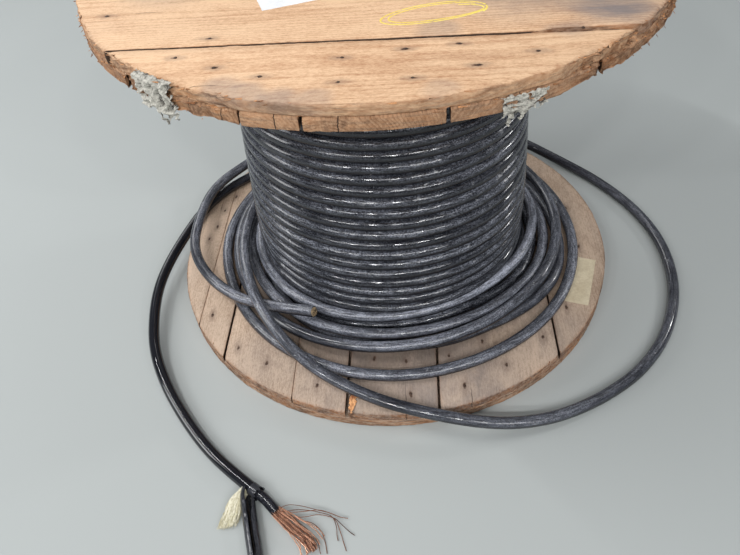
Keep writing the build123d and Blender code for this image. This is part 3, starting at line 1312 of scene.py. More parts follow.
@dataclass
class Ply:
    """One ply of a flange: parallel boards cut to the round, their edges rounded and chipped."""

    node: str
    base: float
    joints: list[Joint]
    grain: Grain
    light: Colour
    dark: Colour
    stain: Colour
    weathering: float
    slot: str
    wear: list[Wear] = field(default_factory=list)
    nails: list[Point] = field(default_factory=list)
    patches: tuple[tuple[Point, float, float], ...] = ()
    sink: int = 0
    step: float = 5.0 * MM
    arris: float = 1.6 * MM
    bore: float = 76.2 * MM
    bolt_spread: tuple[float, float] = (0.250, 0.190)
    bolt_hole: float = 14.3 * MM
    sink_diameter: float = 46.0 * MM
    sink_depth: float = 14.0 * MM
    seed: int = 1
    crisp: float = 1.0
    rim_wear_and_shade: float = 0.62
    dark_to: float = 1.0
    grime_and_shade_to: float = 0.0
    splits: tuple[float, ...] = ()
    scars: tuple[tuple[float, float, float, float], ...] = ()
    rings: float = 0.5
    nail_stain: float = 1.0

    def spans(self) -> list[tuple[SawLine, SawLine]]:
        """The two cuts that bound each board.

        Returns:
            For each board the cut below it and the one above.
        """
        over = FLANGE_RADIUS + 1 * MM
        befores = [SawLine((j.place - j.gap / 2) * MM, j.slant_before) for j in self.joints]
        afters = [SawLine((j.place + j.gap / 2) * MM, j.slant_after, step=j.step_after * MM) for j in self.joints]
        return list(zip([SawLine(-over, at_rim=True)] + afters, befores + [SawLine(over, at_rim=True)]))

    def outline(
        self, low: SawLine, high: SawLine, inset: float, counts: tuple[int, int, int]
    ) -> list[tuple[float, float]]:
        """A board's outline in plan, drawn in from its edges.

        Args:
            low: the cut on its low side.
            high: the cut on its high side.
            inset: how far inside the board's edges the outline runs.
            counts: steps along the low side, each rim arc and the high side.

        Returns:
            Points along and across the grain, anticlockwise, closed.
        """
        radius = FLANGE_RADIUS - inset
        floor = SawLine(low.place + inset, low.slant, low.at_rim, low.step)
        ceiling = SawLine(high.place - inset, high.slant, high.at_rim, high.step)
        low_steps, arc_steps, high_steps = counts
        points = []

        def straight(cut: SawLine, start: int, steps: int) -> None:
            """Add the points of one saw cut, from one rim to the other.

            Args:
                cut: the saw cut.
                start: the side where it starts, 1 or -1 along the grain.
                steps: how many points.
            """
            one, two = (side * radius * math.cos(cut.meets(radius, side)) for side in (start, -start))
            for k in range(steps):
                along = one + (two - one) * k / steps
                points.append((along, cut.at(along)))

        def arc(side: int, start: float, end: float) -> None:
            """Add the points of one rim arc.

            Args:
                side: 1 or -1 along the grain.
                start: its first direction in radians.
                end: its last direction.
            """
            for k in range(arc_steps):
                turn = start + (end - start) * k / arc_steps
                points.append((side * radius * math.cos(turn), radius * math.sin(turn)))

        if not low.at_rim:
            straight(floor, -1, low_steps)
        arc(1, floor.meets(radius, 1), ceiling.meets(radius, 1))
        if not high.at_rim:
            straight(ceiling, 1, high_steps)
        arc(-1, ceiling.meets(radius, -1), floor.meets(radius, -1))
        return points

    def saw(self, name: str, low: SawLine, high: SawLine) -> bpy.types.Object:
        """Saw one board out of the round, with rows of edges round its softened sides.

        Args:
            name: the piece's name.
            low: the cut on its side nearer to the negative rim.
            high: the cut on its other side.

        Returns:
            The board, not yet drilled or worn.
        """
        start, end = low.meets(FLANGE_RADIUS, 1), high.meets(FLANGE_RADIUS, 1)
        counts = (
            max(8, int(2 * FLANGE_RADIUS * math.cos(start) / self.step)),
            max(8, int(FLANGE_RADIUS * (end - start) / self.step)),
            max(8, int(2 * FLANGE_RADIUS * math.cos(end) / self.step)),
        )
        soft = self.arris
        rows = [(0.009, 0.0), (0.004, 0.0), (0.0015, 0.0), (soft * 0.4, soft * 0.15), (0.0, soft)]
        top_rows = [(inset, PLY - height) for inset, height in reversed(rows)]
        rows += [(0.0, PLY * share) for share in (0.22, 0.36, 0.5, 0.64, 0.78)] + top_rows
        vertices = []
        for inset, height in rows:
            for along, across in self.outline(low, high, inset, counts):
                x, y = (along, across) if self.grain is Grain.ALONG_X else (across, along)
                vertices.append((x, y, self.base + height))
        size = len(vertices) // len(rows)
        faces = [list(range(size)), list(range(size * (len(rows) - 1), size * len(rows)))]
        for row in range(len(rows) - 1):
            for k in range(size):
                after = (k + 1) % size
                faces.append([row * size + k, row * size + after, (row + 1) * size + after, (row + 1) * size + k])
        board = add_mesh(name, np.array(vertices), faces)
        with editing(board):
            bpy.ops.mesh.remove_doubles(threshold=0.05 * MM)
            bpy.ops.mesh.normals_make_consistent(inside=False)
        return board

    def drill(self, board: bpy.types.Object, low: float, high: float) -> None:
        """Cut the spindle bore, the bolt holes and the washer recesses that lie in a board.

        Args:
            board: the board.
            low, high: its lower and upper face.
        """
        holes = [(0.0, 0.0, self.bore, 0.0)]
        for x in (-0.5, 0.5):
            for y in (-0.5, 0.5):
                spot = (x * self.bolt_spread[0], y * self.bolt_spread[1])
                holes.append((*spot, self.bolt_hole, 0.0))
                if self.sink:
                    offset = self.sink * (PLY / 2 - self.sink_depth / 2 + 0.5 * MM)
                    holes.append((*spot, self.sink_diameter, offset))
        for x, y, diameter, offset in holes:
            place = y if self.grain is Grain.ALONG_X else x
            if not low - diameter / 2 < place < high + diameter / 2:
                continue
            clear_selection()
            depth = self.sink_depth + 1 * MM if offset else PLY * 2
            bpy.ops.mesh.primitive_cylinder_add(
                vertices=48, radius=diameter / 2, depth=depth, location=(x, y, self.base + PLY / 2 + offset)
            )
            cutter = bpy.context.object
            bpy.ops.object.transform_apply(location=True, rotation=True, scale=True)
            pick(board)
            cut = board.modifiers.new("drill", "BOOLEAN")
            cut.operation = "DIFFERENCE"
            cut.object = cutter
            bpy.ops.object.modifier_apply(modifier=cut.name)
            bpy.data.objects.remove(cutter)

    def age(self, board: bpy.types.Object, across: Vector, along: Vector, cuts: tuple[SawLine, SawLine]) -> None:
        """Round and chip the edges of a board, and mark where it is worn and where shade is painted inside its joints.

        Args:
            board: the sawn board.
            across: direction across the grain.
            along: direction along the grain.
            cuts: the cuts on its low and high side.
        """
        board.vertex_groups.new(name="edge")
        board.vertex_groups.new(name="chips")
        edge, chips = board.vertex_groups["edge"], board.vertex_groups["chips"]
        marks = []
        for vertex in board.data.vertices:
            here = vertex.co
            rim = FLANGE_RADIUS - math.hypot(here.x, here.y)
            offs = [abs(here.dot(across) - cut.at(here.dot(along))) for cut in cuts if not cut.at_rim]
            depth = min(here.z - self.base, self.base + PLY - here.z)
            near_rim = max(0.0, 1 - rim / EDGE_REACH)
            near_saw = max(0.0, 1 - min(offs) / EDGE_REACH)
            corner = max(0.0, 1 - depth / (2.5 * MM))
            weight = self.crisp * max(near_rim * (0.25 + 0.75 * corner), near_saw * corner * 0.35)
            if weight > 0:
                edge.add([vertex.index], weight, "REPLACE")
            angle = math.degrees(math.atan2(here.y, here.x)) % 360
            zone = 0.0
            for wear in self.wear:
                span = (wear.end - wear.start) / 2
                off = abs((angle - (wear.start + span) + 180) % 360 - 180)
                zone = max(zone, wear.depth * clamp((span - off) / WEAR_FADE))
            hurt = zone * max(0.0, 1 - rim / CHIP_REACH)
            if hurt > 0:
                chips.add([vertex.index], min(1.0, hurt), "REPLACE")
            dark = here.dot(along) < self.dark_to
            # wear and painted shade: the rim face takes the bruised colour, partly for its wear, partly as painted
            # shade on the upright rim
            rubbed = min(1.0, max(near_rim * (self.rim_wear_and_shade + (1 - self.rim_wear_and_shade) * zone), near_saw * 0.35,
                                  hurt * 1.2))
            if near_saw > 0.8 and depth > 0.5 * MM and not dark:
                rubbed = 1.0
            # painted shade: side faces deep in a dark joint get a worn value above 1, which the wood turns dark
            joint_shaded = near_saw > 0.8 and depth > 1.2 * MM and rim > 2 * MM and dark
            marks.append(JOINT_SHADE_LEVEL if joint_shaded else rubbed)
        mark(board, "worn", marks)
        pick(board)
        for name, size, strength, group in GRITS:
            grit = bpy.data.textures.new(f"{board.name}_{name}", "CLOUDS")
            grit.noise_scale = size
            grit.noise_depth = 2
            grit.contrast = 1.6
            push = board.modifiers.new(name, "DISPLACE")
            push.texture = grit
            push.texture_coords = "LOCAL"
            push.vertex_group = group
            push.mid_level = 1.0
            push.strength = strength
            bpy.ops.object.modifier_apply(modifier=push.name)
        for vertex in board.data.vertices:
            vertex.co.z = clamp(vertex.co.z, self.base, self.base + PLY)

    def build(self) -> list[bpy.types.Object]:
        """Make and dress all the ply's boards.

        Returns:
            The boards, each standing for its CAD node.
        """
        chance = random.Random(self.seed)
        along, across = Vector((1, 0, 0)), Vector((0, 1, 0))
        if self.grain is Grain.ALONG_Y:
            along, across = across, along
        boards = []
        for number, cuts in enumerate(self.spans(), start=1):
            node = f"{self.node}_{number}"
            low, high = cuts[0].place, cuts[1].place
            board = self.saw(f"{node}_worn", *cuts)
            self.age(board, across, along, cuts)
            self.drill(board, low, high)
            smooth(board, 35.0)
            inside = [n for n in self.nails if low - 0.01 < Vector(n).dot(across) < high + 0.01]
            shade = chance.uniform(-0.12, 0.12)
            finish = WoodFinish(
                f"{node}_wood", self.grain,
                tuple(min(1.0, c * (1 + shade)) for c in self.light[:3]) + (1.0,),
                tuple(c * (1 + shade) for c in self.dark[:3]) + (1.0,), self.stain,
                pith=((low + high) / 2 + chance.uniform(-0.06, 0.06), self.base - chance.uniform(0.02, 0.09)),
                ring_width=chance.uniform(0.0036, 0.0058), weathering=self.weathering,
                seed=chance.uniform(0, 50), nails=tuple(inside), patches=self.patches,
                splits=tuple(split for split in self.splits if low + 0.004 < split < high - 0.004),
                rings=self.rings, nail_stain=self.nail_stain,
                scars=tuple(scar for scar in self.scars if low < scar[1] < high), grime_and_shade_to=self.grime_and_shade_to,
            )
            dress(board, finish.build())
            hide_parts(node)
            boards.append(board)
        return boards


TOP_NAILS = [
    (-203, -285), (-237, -332), (-182, -362), (-122, -388), (-27, -352), (49, -338), (114, -332), (-28, -409),
    (57, -407), (133, -385), (204, -359), (265, -306), (-366, -202),
]
BOTTOM_NAILS = [
    (-401, 116), (-408, 60), (-419, 16), (-365, -213), (-296, -301), (-235, -341), (-133, -390), (-30, -334),
    (31, -341), (111, -329), (176, -294), (240, -241), (39, -413), (136, -396), (216, -353), (291, -287),
    (347, -213), (402, -42), (396, 87), (358, 185),
]


# Seed of the two rings of nails that don't show, and where they begin, in millimetres
TOP_NAIL_RINGS = (4, -190)
BOTTOM_NAIL_RINGS = (5, 150)


def soaked_spots(height: float, rows: Sequence[tuple[float, ...]]) -> tuple[tuple[Point, float, float], ...]:
    """Water stains at a height, from rows of x, y, reach and strength."""
    return tuple(((x, y, height), reach, strength) for x, y, reach, strength in rows)


def nail_places(seen: Sequence[tuple[float, float]], seed: int, behind: float) -> list[tuple[float, float]]:
    """Nails of one flange: those that show, and the two rings carried on behind them.

    Args:
        seen: the places that show, in millimetres.
        seed: start of the random spread.
        behind: the rings are carried on where y is above this, in millimetres.

    Returns:
        All places, in millimetres.
    """
    chance = random.Random(seed)
    places = list(seen)
    for radius, count in ((348.0, 30), (411.0, 30)):
        for number in range(count):
            turn = 2 * math.pi * (number + chance.uniform(-0.2, 0.2)) / count
            reach = radius + chance.uniform(-7, 7)
            spot = (reach * math.cos(turn), reach * math.sin(turn))
            if spot[1] > behind and min(math.dist(spot, other) for other in places) > 50:
                places.append(spot)
    return places


class Flanges:
    """Both flanges, each of two crossed plies."""

    top_light = srgb(238, 200, 162)
    top_dark = srgb(186, 138, 102)
    low_light = srgb(210, 186, 164)
    low_dark = srgb(146, 120, 98)
    inner_light = srgb(204, 166, 132)
    inner_dark = srgb(134, 100, 74)
    top_stain = srgb(150, 132, 118)
    low_stain = srgb(112, 103, 98)

    def plies(self) -> list[Ply]:
        """The four plies, lowest first.

        Returns:
            The plies, from which the flanges are built.
        """
        top_spots = [(x * MM, y * MM, DRUM_HEIGHT) for x, y in nail_places(TOP_NAILS, *TOP_NAIL_RINGS)]
        low_spots = [(x * MM, y * MM, LOWER_FACE) for x, y in nail_places(BOTTOM_NAILS, *BOTTOM_NAIL_RINGS)]
        low_wear = [Wear(180, 350, 0.16)]
        top_wear = [Wear(198, 252, 0.62), Wear(250, 300, 0.15), Wear(300, 345, 0.78)]
        low_patches = soaked_spots(LOWER_FACE, (
            (0.120, -0.400, 0.170, 0.62), (0.310, -0.280, 0.130, 0.30), (-0.080, -0.380, 0.150, 0.45),
            (-0.240, -0.330, 0.100, 0.22),
        ))
        stains = soaked_spots(DRUM_HEIGHT, (
            (0.320, -0.236, 0.090, 0.92), (0.200, -0.190, 0.120, 0.50), (-0.165, -0.412, 0.028, 0.42),
            (-0.130, -0.426, 0.028, 0.46), (-0.095, -0.436, 0.027, 0.46), (-0.058, -0.443, 0.026, 0.36),
            (0.088, -0.432, 0.026, 0.30), (0.090, -0.290, 0.034, 0.40), (-0.300, -0.120, 0.090, 0.30),
            (0.250, -0.310, 0.036, 0.40),
        ))
        return [
            Ply("bottom_outer_board", 0.0, [Joint(-240, 2.5), Joint(-56, 2.0), Joint(128, 2.5), Joint(312, 2.0)],
                Grain.ALONG_X, self.low_light, self.low_dark, self.low_stain, 0.5, "wood_outer", low_wear, sink=-1,
                seed=11, crisp=0.35, rim_wear_and_shade=1.0, arris=1.0 * MM),
            Ply("bottom_inner_board", PLY,
                [Joint(-388, 0.4), Joint(-321, 3.8), Joint(-178, 0.3), Joint(-76, 4.4), Joint(89, 4.4),
                 Joint(315, 3.4)],
                Grain.ALONG_Y, self.low_light, self.low_dark, self.low_stain, 0.85, "wood_inner", low_wear, low_spots,
                seed=12, crisp=0.35, splits=(-0.246, 0.148, 0.030), rings=0.16, nail_stain=1.2,
                rim_wear_and_shade=1.0, patches=low_patches, arris=0.9 * MM, scars=((-0.428, -0.066, 0.024, 0.007),),
                grime_and_shade_to=0.325),
            Ply("top_inner_board", UPPER_FACE,
                [Joint(-305, 2.0), Joint(-145, 1.2), Joint(-71, 3.6), Joint(96, 3.6), Joint(280, 2.0)],
                Grain.ALONG_Y, self.inner_light, self.inner_dark, self.top_stain, 0.5, "wood_inner", top_wear,
                seed=13, crisp=0.4, rings=0.6, arris=1.1 * MM, splits=(-0.101, -0.028, -0.168, -0.212, 0.176)),
            Ply("top_outer_board", UPPER_FACE + PLY,
                [Joint(-307.7, 3.4, -0.0155, -0.0125, 7.0), Joint(-119, 2.5), Joint(65, 2.0), Joint(249, 2.5)],
                Grain.ALONG_X, self.top_light, self.top_dark, self.top_stain, 0.35, "wood_outer", top_wear,
                top_spots, stains, 1, seed=14, dark_to=0.205),
        ]

    def build(self) -> list[bpy.types.Object]:
        """Build every board of both flanges.

        Returns:
            All boards.
        """
        boards = []
        for ply in self.plies():
            made = ply.build()
            log.info("%s: %d boards", ply.node, len(made))
            boards += made
        return boards


# Nails, papers, marks and splinters on the flanges


@dataclass
class Nails:
    """The nail heads of one flange, driven a little under the surface."""

    name: str
    places: list[tuple[float, float]]
    height: float
    head: float = 2.5 * MM
    thickness: float = 1.2 * MM
    proud: float = 0.2 * MM

    def build(self) -> bpy.types.Object:
        """Model one nail head, copy it to every place and join the copies.

        Returns:
            The dressed nail heads.
        """
        clear_selection()
        bpy.ops.mesh.primitive_cylinder_add(vertices=14, radius=self.head, depth=self.thickness)
        master = bpy.context.object
        with editing(master):
            bpy.ops.mesh.bevel(offset=0.35 * MM, segments=2)
        chance = random.Random(self.name)
        places = []
        for x, y in self.places:
            tilt = Matrix.Rotation(math.radians(chance.uniform(-6, 6)), 4, "X")
            tilt = tilt @ Matrix.Rotation(math.radians(chance.uniform(-6, 6)), 4, "Y")
            size = Matrix.Scale(chance.uniform(0.85, 1.1), 4)
            drop = self.height + self.proud - self.thickness / 2
            places.append(Matrix.Translation((x * MM, y * MM, drop)) @ tilt @ size)
        piece = stamp(master, places, self.name)
        smooth(piece, 40.0)
        finish = PlainFinish(f"{self.name}_steel", srgb(104, 84, 72), srgb(54, 40, 34), 400.0, (0.45, 0.75), 0.6)
        return dress(piece, finish.build())


@dataclass
class PaperScrap:
    """A bare paper label, pasted flat, with soft wrinkles and one corner lifting."""

    name: str
    corners: list[tuple[float, float]]
    height: float
    light: Colour
    dark: Colour
    lift: float = 1.5 * MM
    thickness: float = 0.25 * MM

    def build(self) -> bpy.types.Object:
        """Cut, wrinkle and paste the label.

        Returns:
            The dressed label.
        """
        clear_selection()
        bpy.ops.mesh.primitive_grid_add(x_subdivisions=36, y_subdivisions=24, size=1)
        piece = bpy.context.object
        piece.name = self.name
        a, b, c, d = (Vector(corner) * MM for corner in self.corners)
        for vertex in piece.data.vertices:
            u, v = vertex.co.x + 0.5, vertex.co.y + 0.5
            low, high = a.lerp(b, u), d.lerp(c, u)
            spot = low.lerp(high, v)
            rag = 0.5 * MM * ripple(spot.x * 180, spot.y * 180, 3.0)
            crease = abs(ripple(spot.x * 28, spot.y * 28, 8.0))
            corner = max(0.0, u + v - 1.72) / 0.28
            height = self.height + 0.22 * MM + 0.3 * MM * (1 - crease) ** 6 + self.lift * corner**2
            edge = 1.0 if min(u, v, 1 - u, 1 - v) < 0.001 else 0.0
            vertex.co = (spot.x + rag * edge, spot.y + rag * edge, height)
        thicken(piece, self.thickness, -1.0)
        smooth(piece, 50.0)
        finish = PlainFinish(f"{self.name}_paper", self.light, self.dark, 30.0, (0.6, 0.85), bump=0.00015)
        return dress(piece, finish.build())


@dataclass
class CrayonMark:
    """A plain double ring drawn on the boards with a yellow wax crayon."""

    middle: tuple[float, float] = (86.0, -246.0)
    reach: tuple[float, float] = (70.0, 26.0)
    tilt: float = 8.0
    width: float = 2.7 * MM

    def build(self) -> bpy.types.Object:
        """Draw the strokes as thin flat bands of wax.

        Returns:
            The dressed mark.
        """
        chance = random.Random(31)
        pile = Pile()
        turn = math.radians(self.tilt)
        for number, (start, end, grow) in enumerate(((-0.4, 6.3, 1.0), (0.5, 7.3, 0.86))):
            points = []
            for k in range(150):
                angle = start + (end - start) * k / 149
                wave = 1 + 0.05 * math.sin(angle * 2.0 + number)
                x = self.reach[0] * grow * wave * math.cos(angle) + 3 * number
                y = self.reach[1] * grow * wave * math.sin(angle) + 3 * math.sin(angle * 1.5)
                points.append((
                    (self.middle[0] + x * math.cos(turn) - y * math.sin(turn)) * MM,
                    (self.middle[1] + x * math.sin(turn) + y * math.cos(turn)) * MM,
                    DRUM_HEIGHT + 0.10 * MM,
                ))
            line = np.array(points)
            start_at = 0
            while start_at < len(line) - 4:
                length = chance.randint(14, 46)
                part = line[start_at:start_at + length]
                if len(part) > 3:
                    rough = [self.width / 2 * chance.uniform(0.72, 1.12) for _ in part]
                    rough[0] = rough[-1] = self.width * 0.12
                    pile.strand(part, np.array(rough), 6, chance.uniform(0.1, 0.6), flat=0.12)
                start_at += length - 1 + chance.choice((0, 0, 1))
        piece = pile.piece("crayon_mark", 60.0)
        finish = TonedFinish("yellow_crayon", srgb(250, 230, 118), srgb(230, 194, 84), (0.6, 0.8), grit=500.0)
        return dress(piece, finish.build())


@dataclass
class TapeRemnant:
    """A crumpled remnant of pale tape on the upper flange's edge, with hanging tatters and painted shade in its folds.
    """

    name: str
    start: float
    end: float
    top: float
    drop: float
    tatters: list[tuple[float, float, float]]
    seed: float
    wrap: float = 0.0
    body: float = 0.6
    crumple: float = 6.5 * MM
    thickness: float = 0.6 * MM
    columns: int = 84
    rows: int = 64

    def hangs(self, place: float) -> float:
        """How far the tape hangs down at a place from 0 to 1 along it, as a share of the drop.

        Args:
            place: along the tape.

        Returns:
            The share.
        """
        reach = self.body + 0.20 * ripple(place * 5, self.seed, 0)
        for middle, width, length in self.tatters:
            reach = max(reach, length * max(0.0, 1 - (abs(place - middle) / width) ** 2))
        return reach

    def swell(self, u: float, v: float) -> tuple[float, float]:
        """How far the crumpled tape stands off at a place, and how deep in a fold it is, from 0 to 1, which is painted
        as shade.

        Args:
            u, v: the place along and down the tape.

        Returns:
            The rise in metres and the depth, which sets the painted shade in the folds.
        """
        fine = ripple(u * 15, v * 15, self.seed)
        bend = ripple(u * 2.4, v * 2.4, self.seed + 3) * 0.5
        fold = abs(ripple(u * 4.0 + bend, v * 6.0 - bend, self.seed + 7))
        crease = abs(ripple(u * 9 + bend, v * 15, self.seed + 11))
        rise = self.crumple * (1.0 - min(1.0, 2.6 * fold)) + 1.6 * MM * (1 - 2 * crease) + 0.7 * MM * fine
        depth = min(1.0, max(0.0, 2.4 * fold - 0.35)) * 0.75 + max(0.0, 0.22 - crease) * 1.6
        return max(0.4 * MM, rise), min(1.0, depth)

    def build(self) -> bpy.types.Object:
        """Lay the crumpled tape over the rim.

        Returns:
            The dressed remnant.
        """
        clear_selection()
        bpy.ops.mesh.primitive_grid_add(x_subdivisions=self.columns, y_subdivisions=self.rows, size=1)
        piece = bpy.context.object
        piece.name = self.name
        fold_shades = []
        for vertex in piece.data.vertices:
            u, v = vertex.co.x + 0.5, 0.5 - vertex.co.y
            rise, depth = self.swell(u, v)
            fold_shades.append(depth)
            angle = math.radians(self.start + (self.end - self.start) * (u + 0.02 * math.sin(v * 9 + self.seed)))
            down = v * (self.drop + self.wrap) - self.wrap
            if down < 0:
                radius = FLANGE_RADIUS + down
                height = DRUM_HEIGHT + min(0.3 * MM, 0.25 * rise)
            else:
                radius = FLANGE_RADIUS - 2.5 * MM + rise
                height = self.top - down
                radius -= max(0.0, UPPER_FACE - height) * 0.15
            vertex.co = (radius * math.cos(angle), radius * math.sin(angle), height)
        # painted shade: the tape darkens with the depth of its folds
        mark(piece, "tone", fold_shades)
        with editing(piece):
            work = bmesh.from_edit_mesh(piece.data)
            gone = []
            for face in work.faces:
                column, row = face.index % self.columns, face.index // self.columns
                u, v = (column + 0.5) / self.columns, 1 - (row + 0.5) / self.rows
                ragged = 0.12 * ripple(u * 13, v * 13, self.seed + 2)
                side = min(u, 1 - u) + ragged * 0.9
                hole = ripple(u * 6, v * 6, self.seed + 4)
                top_edge = v + ragged * 0.6
                if v > self.hangs(u) + ragged or side < 0.04 or hole > 0.50 or top_edge < 0.02:
                    gone.append(face)
            bmesh.ops.delete(work, geom=gone, context="FACES")
            bmesh.update_edit_mesh(piece.data)
        thicken(piece, self.thickness)
        soften = piece.modifiers.new("soften", "SUBSURF")
        soften.levels = soften.render_levels = 1
        bpy.ops.object.modifier_apply(modifier=soften.name)
        smooth(piece, 60.0)
        # the dark tone is the painted shade in the folds
        finish = TonedFinish(f"{self.name}_tape", srgb(190, 187, 177), srgb(54, 48, 44), (0.55, 0.85), grit=420.0,
                             spread=0.40, bump=0.0010)
        return dress(piece, finish.build())


@dataclass
class Splinters:
    """Slivers torn up along the worn rims of one ply."""

    name: str
    grain: Grain
    heights: list[float]
    wear: list[Wear]
    count: int
    slot: str
    light: Colour
    dark: Colour
    seed: int

    def build(self) -> bpy.types.Object:
        """Set the slivers along the rim, lying with the grain and lifting a little.

        Returns:
            The dressed slivers.
        """
        chance = random.Random(self.seed)
        pile = Pile()
        total = sum((w.end - w.start) * w.depth for w in self.wear)
        along = np.array((1.0, 0.0, 0.0)) if self.grain is Grain.ALONG_X else np.array((0.0, 1.0, 0.0))
        for wear in self.wear:
            for _ in range(int(self.count * (wear.end - wear.start) * wear.depth / total)):
                turn = math.radians(chance.uniform(wear.start, wear.end))
                out = np.array((math.cos(turn), math.sin(turn), 0.0))
                sunk = chance.uniform(0.5, 5.0) * MM * (1 + wear.depth)
                foot = out * (FLANGE_RADIUS - sunk)
                foot[2] = chance.choice(self.heights) + chance.uniform(-2.0, 2.0) * MM
                way = along * (1 if np.dot(along, out) > 0 else -1) * (1 if chance.random() < 0.85 else -1)
                outwards = abs(float(np.dot(along, out)))
                length = chance.uniform(5, 20) * MM * max(0.18, 1.0 - outwards)
                lift = np.array((0.0, 0.0, chance.uniform(-0.12, 0.14))) + out * chance.uniform(0.0, 0.06)
                tip = foot + (way + lift) * length
                middle = (foot + tip) / 2 + out * chance.uniform(0.0, 0.8) * MM
                line = bend_through([foot, middle, tip], 5)
                line[:, 2] = np.minimum(line[:, 2], DRUM_HEIGHT - 1.5 * MM)
                if np.max(np.abs(line[:, :2])) > FLANGE_RADIUS - 1 * MM:
                    continue
                wide = chance.uniform(0.4, 1.3) * MM
                radii = wide * np.array((1.0, 0.95, 0.8, 0.5, 0.12))
                pile.strand(line, radii, 5, chance.random(), chance.uniform(0.3, 0.6), chance.uniform(0, 3))
        piece = pile.piece(self.name, 30.0)
        return dress(piece, TonedFinish(f"{self.name}_wood", self.light, self.dark, (0.7, 0.9)).build())


class Trimmings:
    """Everything small on the flanges: nails, bare papers, the crayon mark, tape and splinters."""

    def build(self) -> list[bpy.types.Object]:
        """Build each of them.

        Returns:
            The dressed pieces.
        """
        top_edges = [Wear(198, 252, 1.0), Wear(252, 300, 0.25), Wear(300, 343, 1.0)]
        low_edges = [Wear(215, 330, 0.6)]
        fresh, old = srgb(214, 156, 108), srgb(112, 72, 46)
        makers = [
            Nails("top_nail_heads", nail_places(TOP_NAILS, *TOP_NAIL_RINGS), DRUM_HEIGHT),
            Nails("bottom_nail_heads", nail_places(BOTTOM_NAILS, *BOTTOM_NAIL_RINGS), LOWER_FACE),
            PaperScrap("bare_label", [(347, -197), (390, -211), (429, -86), (390, -72)], LOWER_FACE,
                       srgb(226, 214, 186), srgb(192, 176, 146)),
            PaperScrap("bare_paper", [(-145, -212), (-3.2, -163.2), (-28.7, -92.7), (-170.5, -141.5)], DRUM_HEIGHT,
                       srgb(244, 245, 246), srgb(222, 224, 226), 0.2 * MM),
            CrayonMark(),
            TapeRemnant("tape_left", 231.6, 240.2, DRUM_HEIGHT, 68 * MM,
                        [(0.52, 0.10, 1.0), (0.66, 0.24, 0.86)], 3.0, wrap=5 * MM, body=0.70),
            TapeRemnant("tape_right", 289.8, 297.8, DRUM_HEIGHT - 17 * MM, 42 * MM,
                        [(0.22, 0.12, 1.0), (0.46, 0.10, 0.92)], 9.0, body=0.62, crumple=4.0 * MM),
            Splinters("top_outer_splinters", Grain.ALONG_X, [DRUM_HEIGHT - 2 * MM, UPPER_FACE + PLY], top_edges, 190,
                      "wood_outer", fresh, old, 41),
            Splinters("top_inner_splinters", Grain.ALONG_Y, [UPPER_FACE + 2 * MM, UPPER_FACE + PLY - 2 * MM],
                      top_edges, 120, "wood_inner", fresh, old, 42),
            Splinters("bottom_splinters", Grain.ALONG_Y, [LOWER_FACE - 2 * MM, PLY], low_edges, 70, "wood_inner",
                      srgb(190, 140, 100), srgb(96, 62, 42), 43),
        ]
        pieces = []
        for maker in makers:
            piece = maker.build()
            log.info("%s: %d faces", piece.name, len(piece.data.polygons))
            pieces.append(piece)
        return pieces


class Fastenings:
    """The tie bolts with their nuts and washers, and the staves: CAD nodes that keep their shape."""

    def dress(self, nodes: dict[str, bpy.types.Object]) -> None:
        """Give the nodes their materials.

        Args:
            nodes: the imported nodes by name.
        """
        zinc = PlainFinish("dull_zinc", srgb(158, 160, 160), srgb(104, 92, 80), 120.0, (0.35, 0.65), 0.85).build()
        stave = WoodFinish("stave_wood", Grain.ALONG_Z, srgb(222, 170, 118), srgb(168, 108, 66), srgb(120, 108, 98),
                           pith=(0.31, 0.22), weathering=0.4, seed=5.0).build()
        for name, node in nodes.items():
            material = None
            if name.startswith("tie_bolt") or name.endswith("_washers"):
                material = zinc
            elif name.startswith("barrel_stave"):
                material = stave
            if material:
                node.data.materials.clear()
                node.data.materials.append(material)
                log.info("%s: dressed", name)


# The stripped end


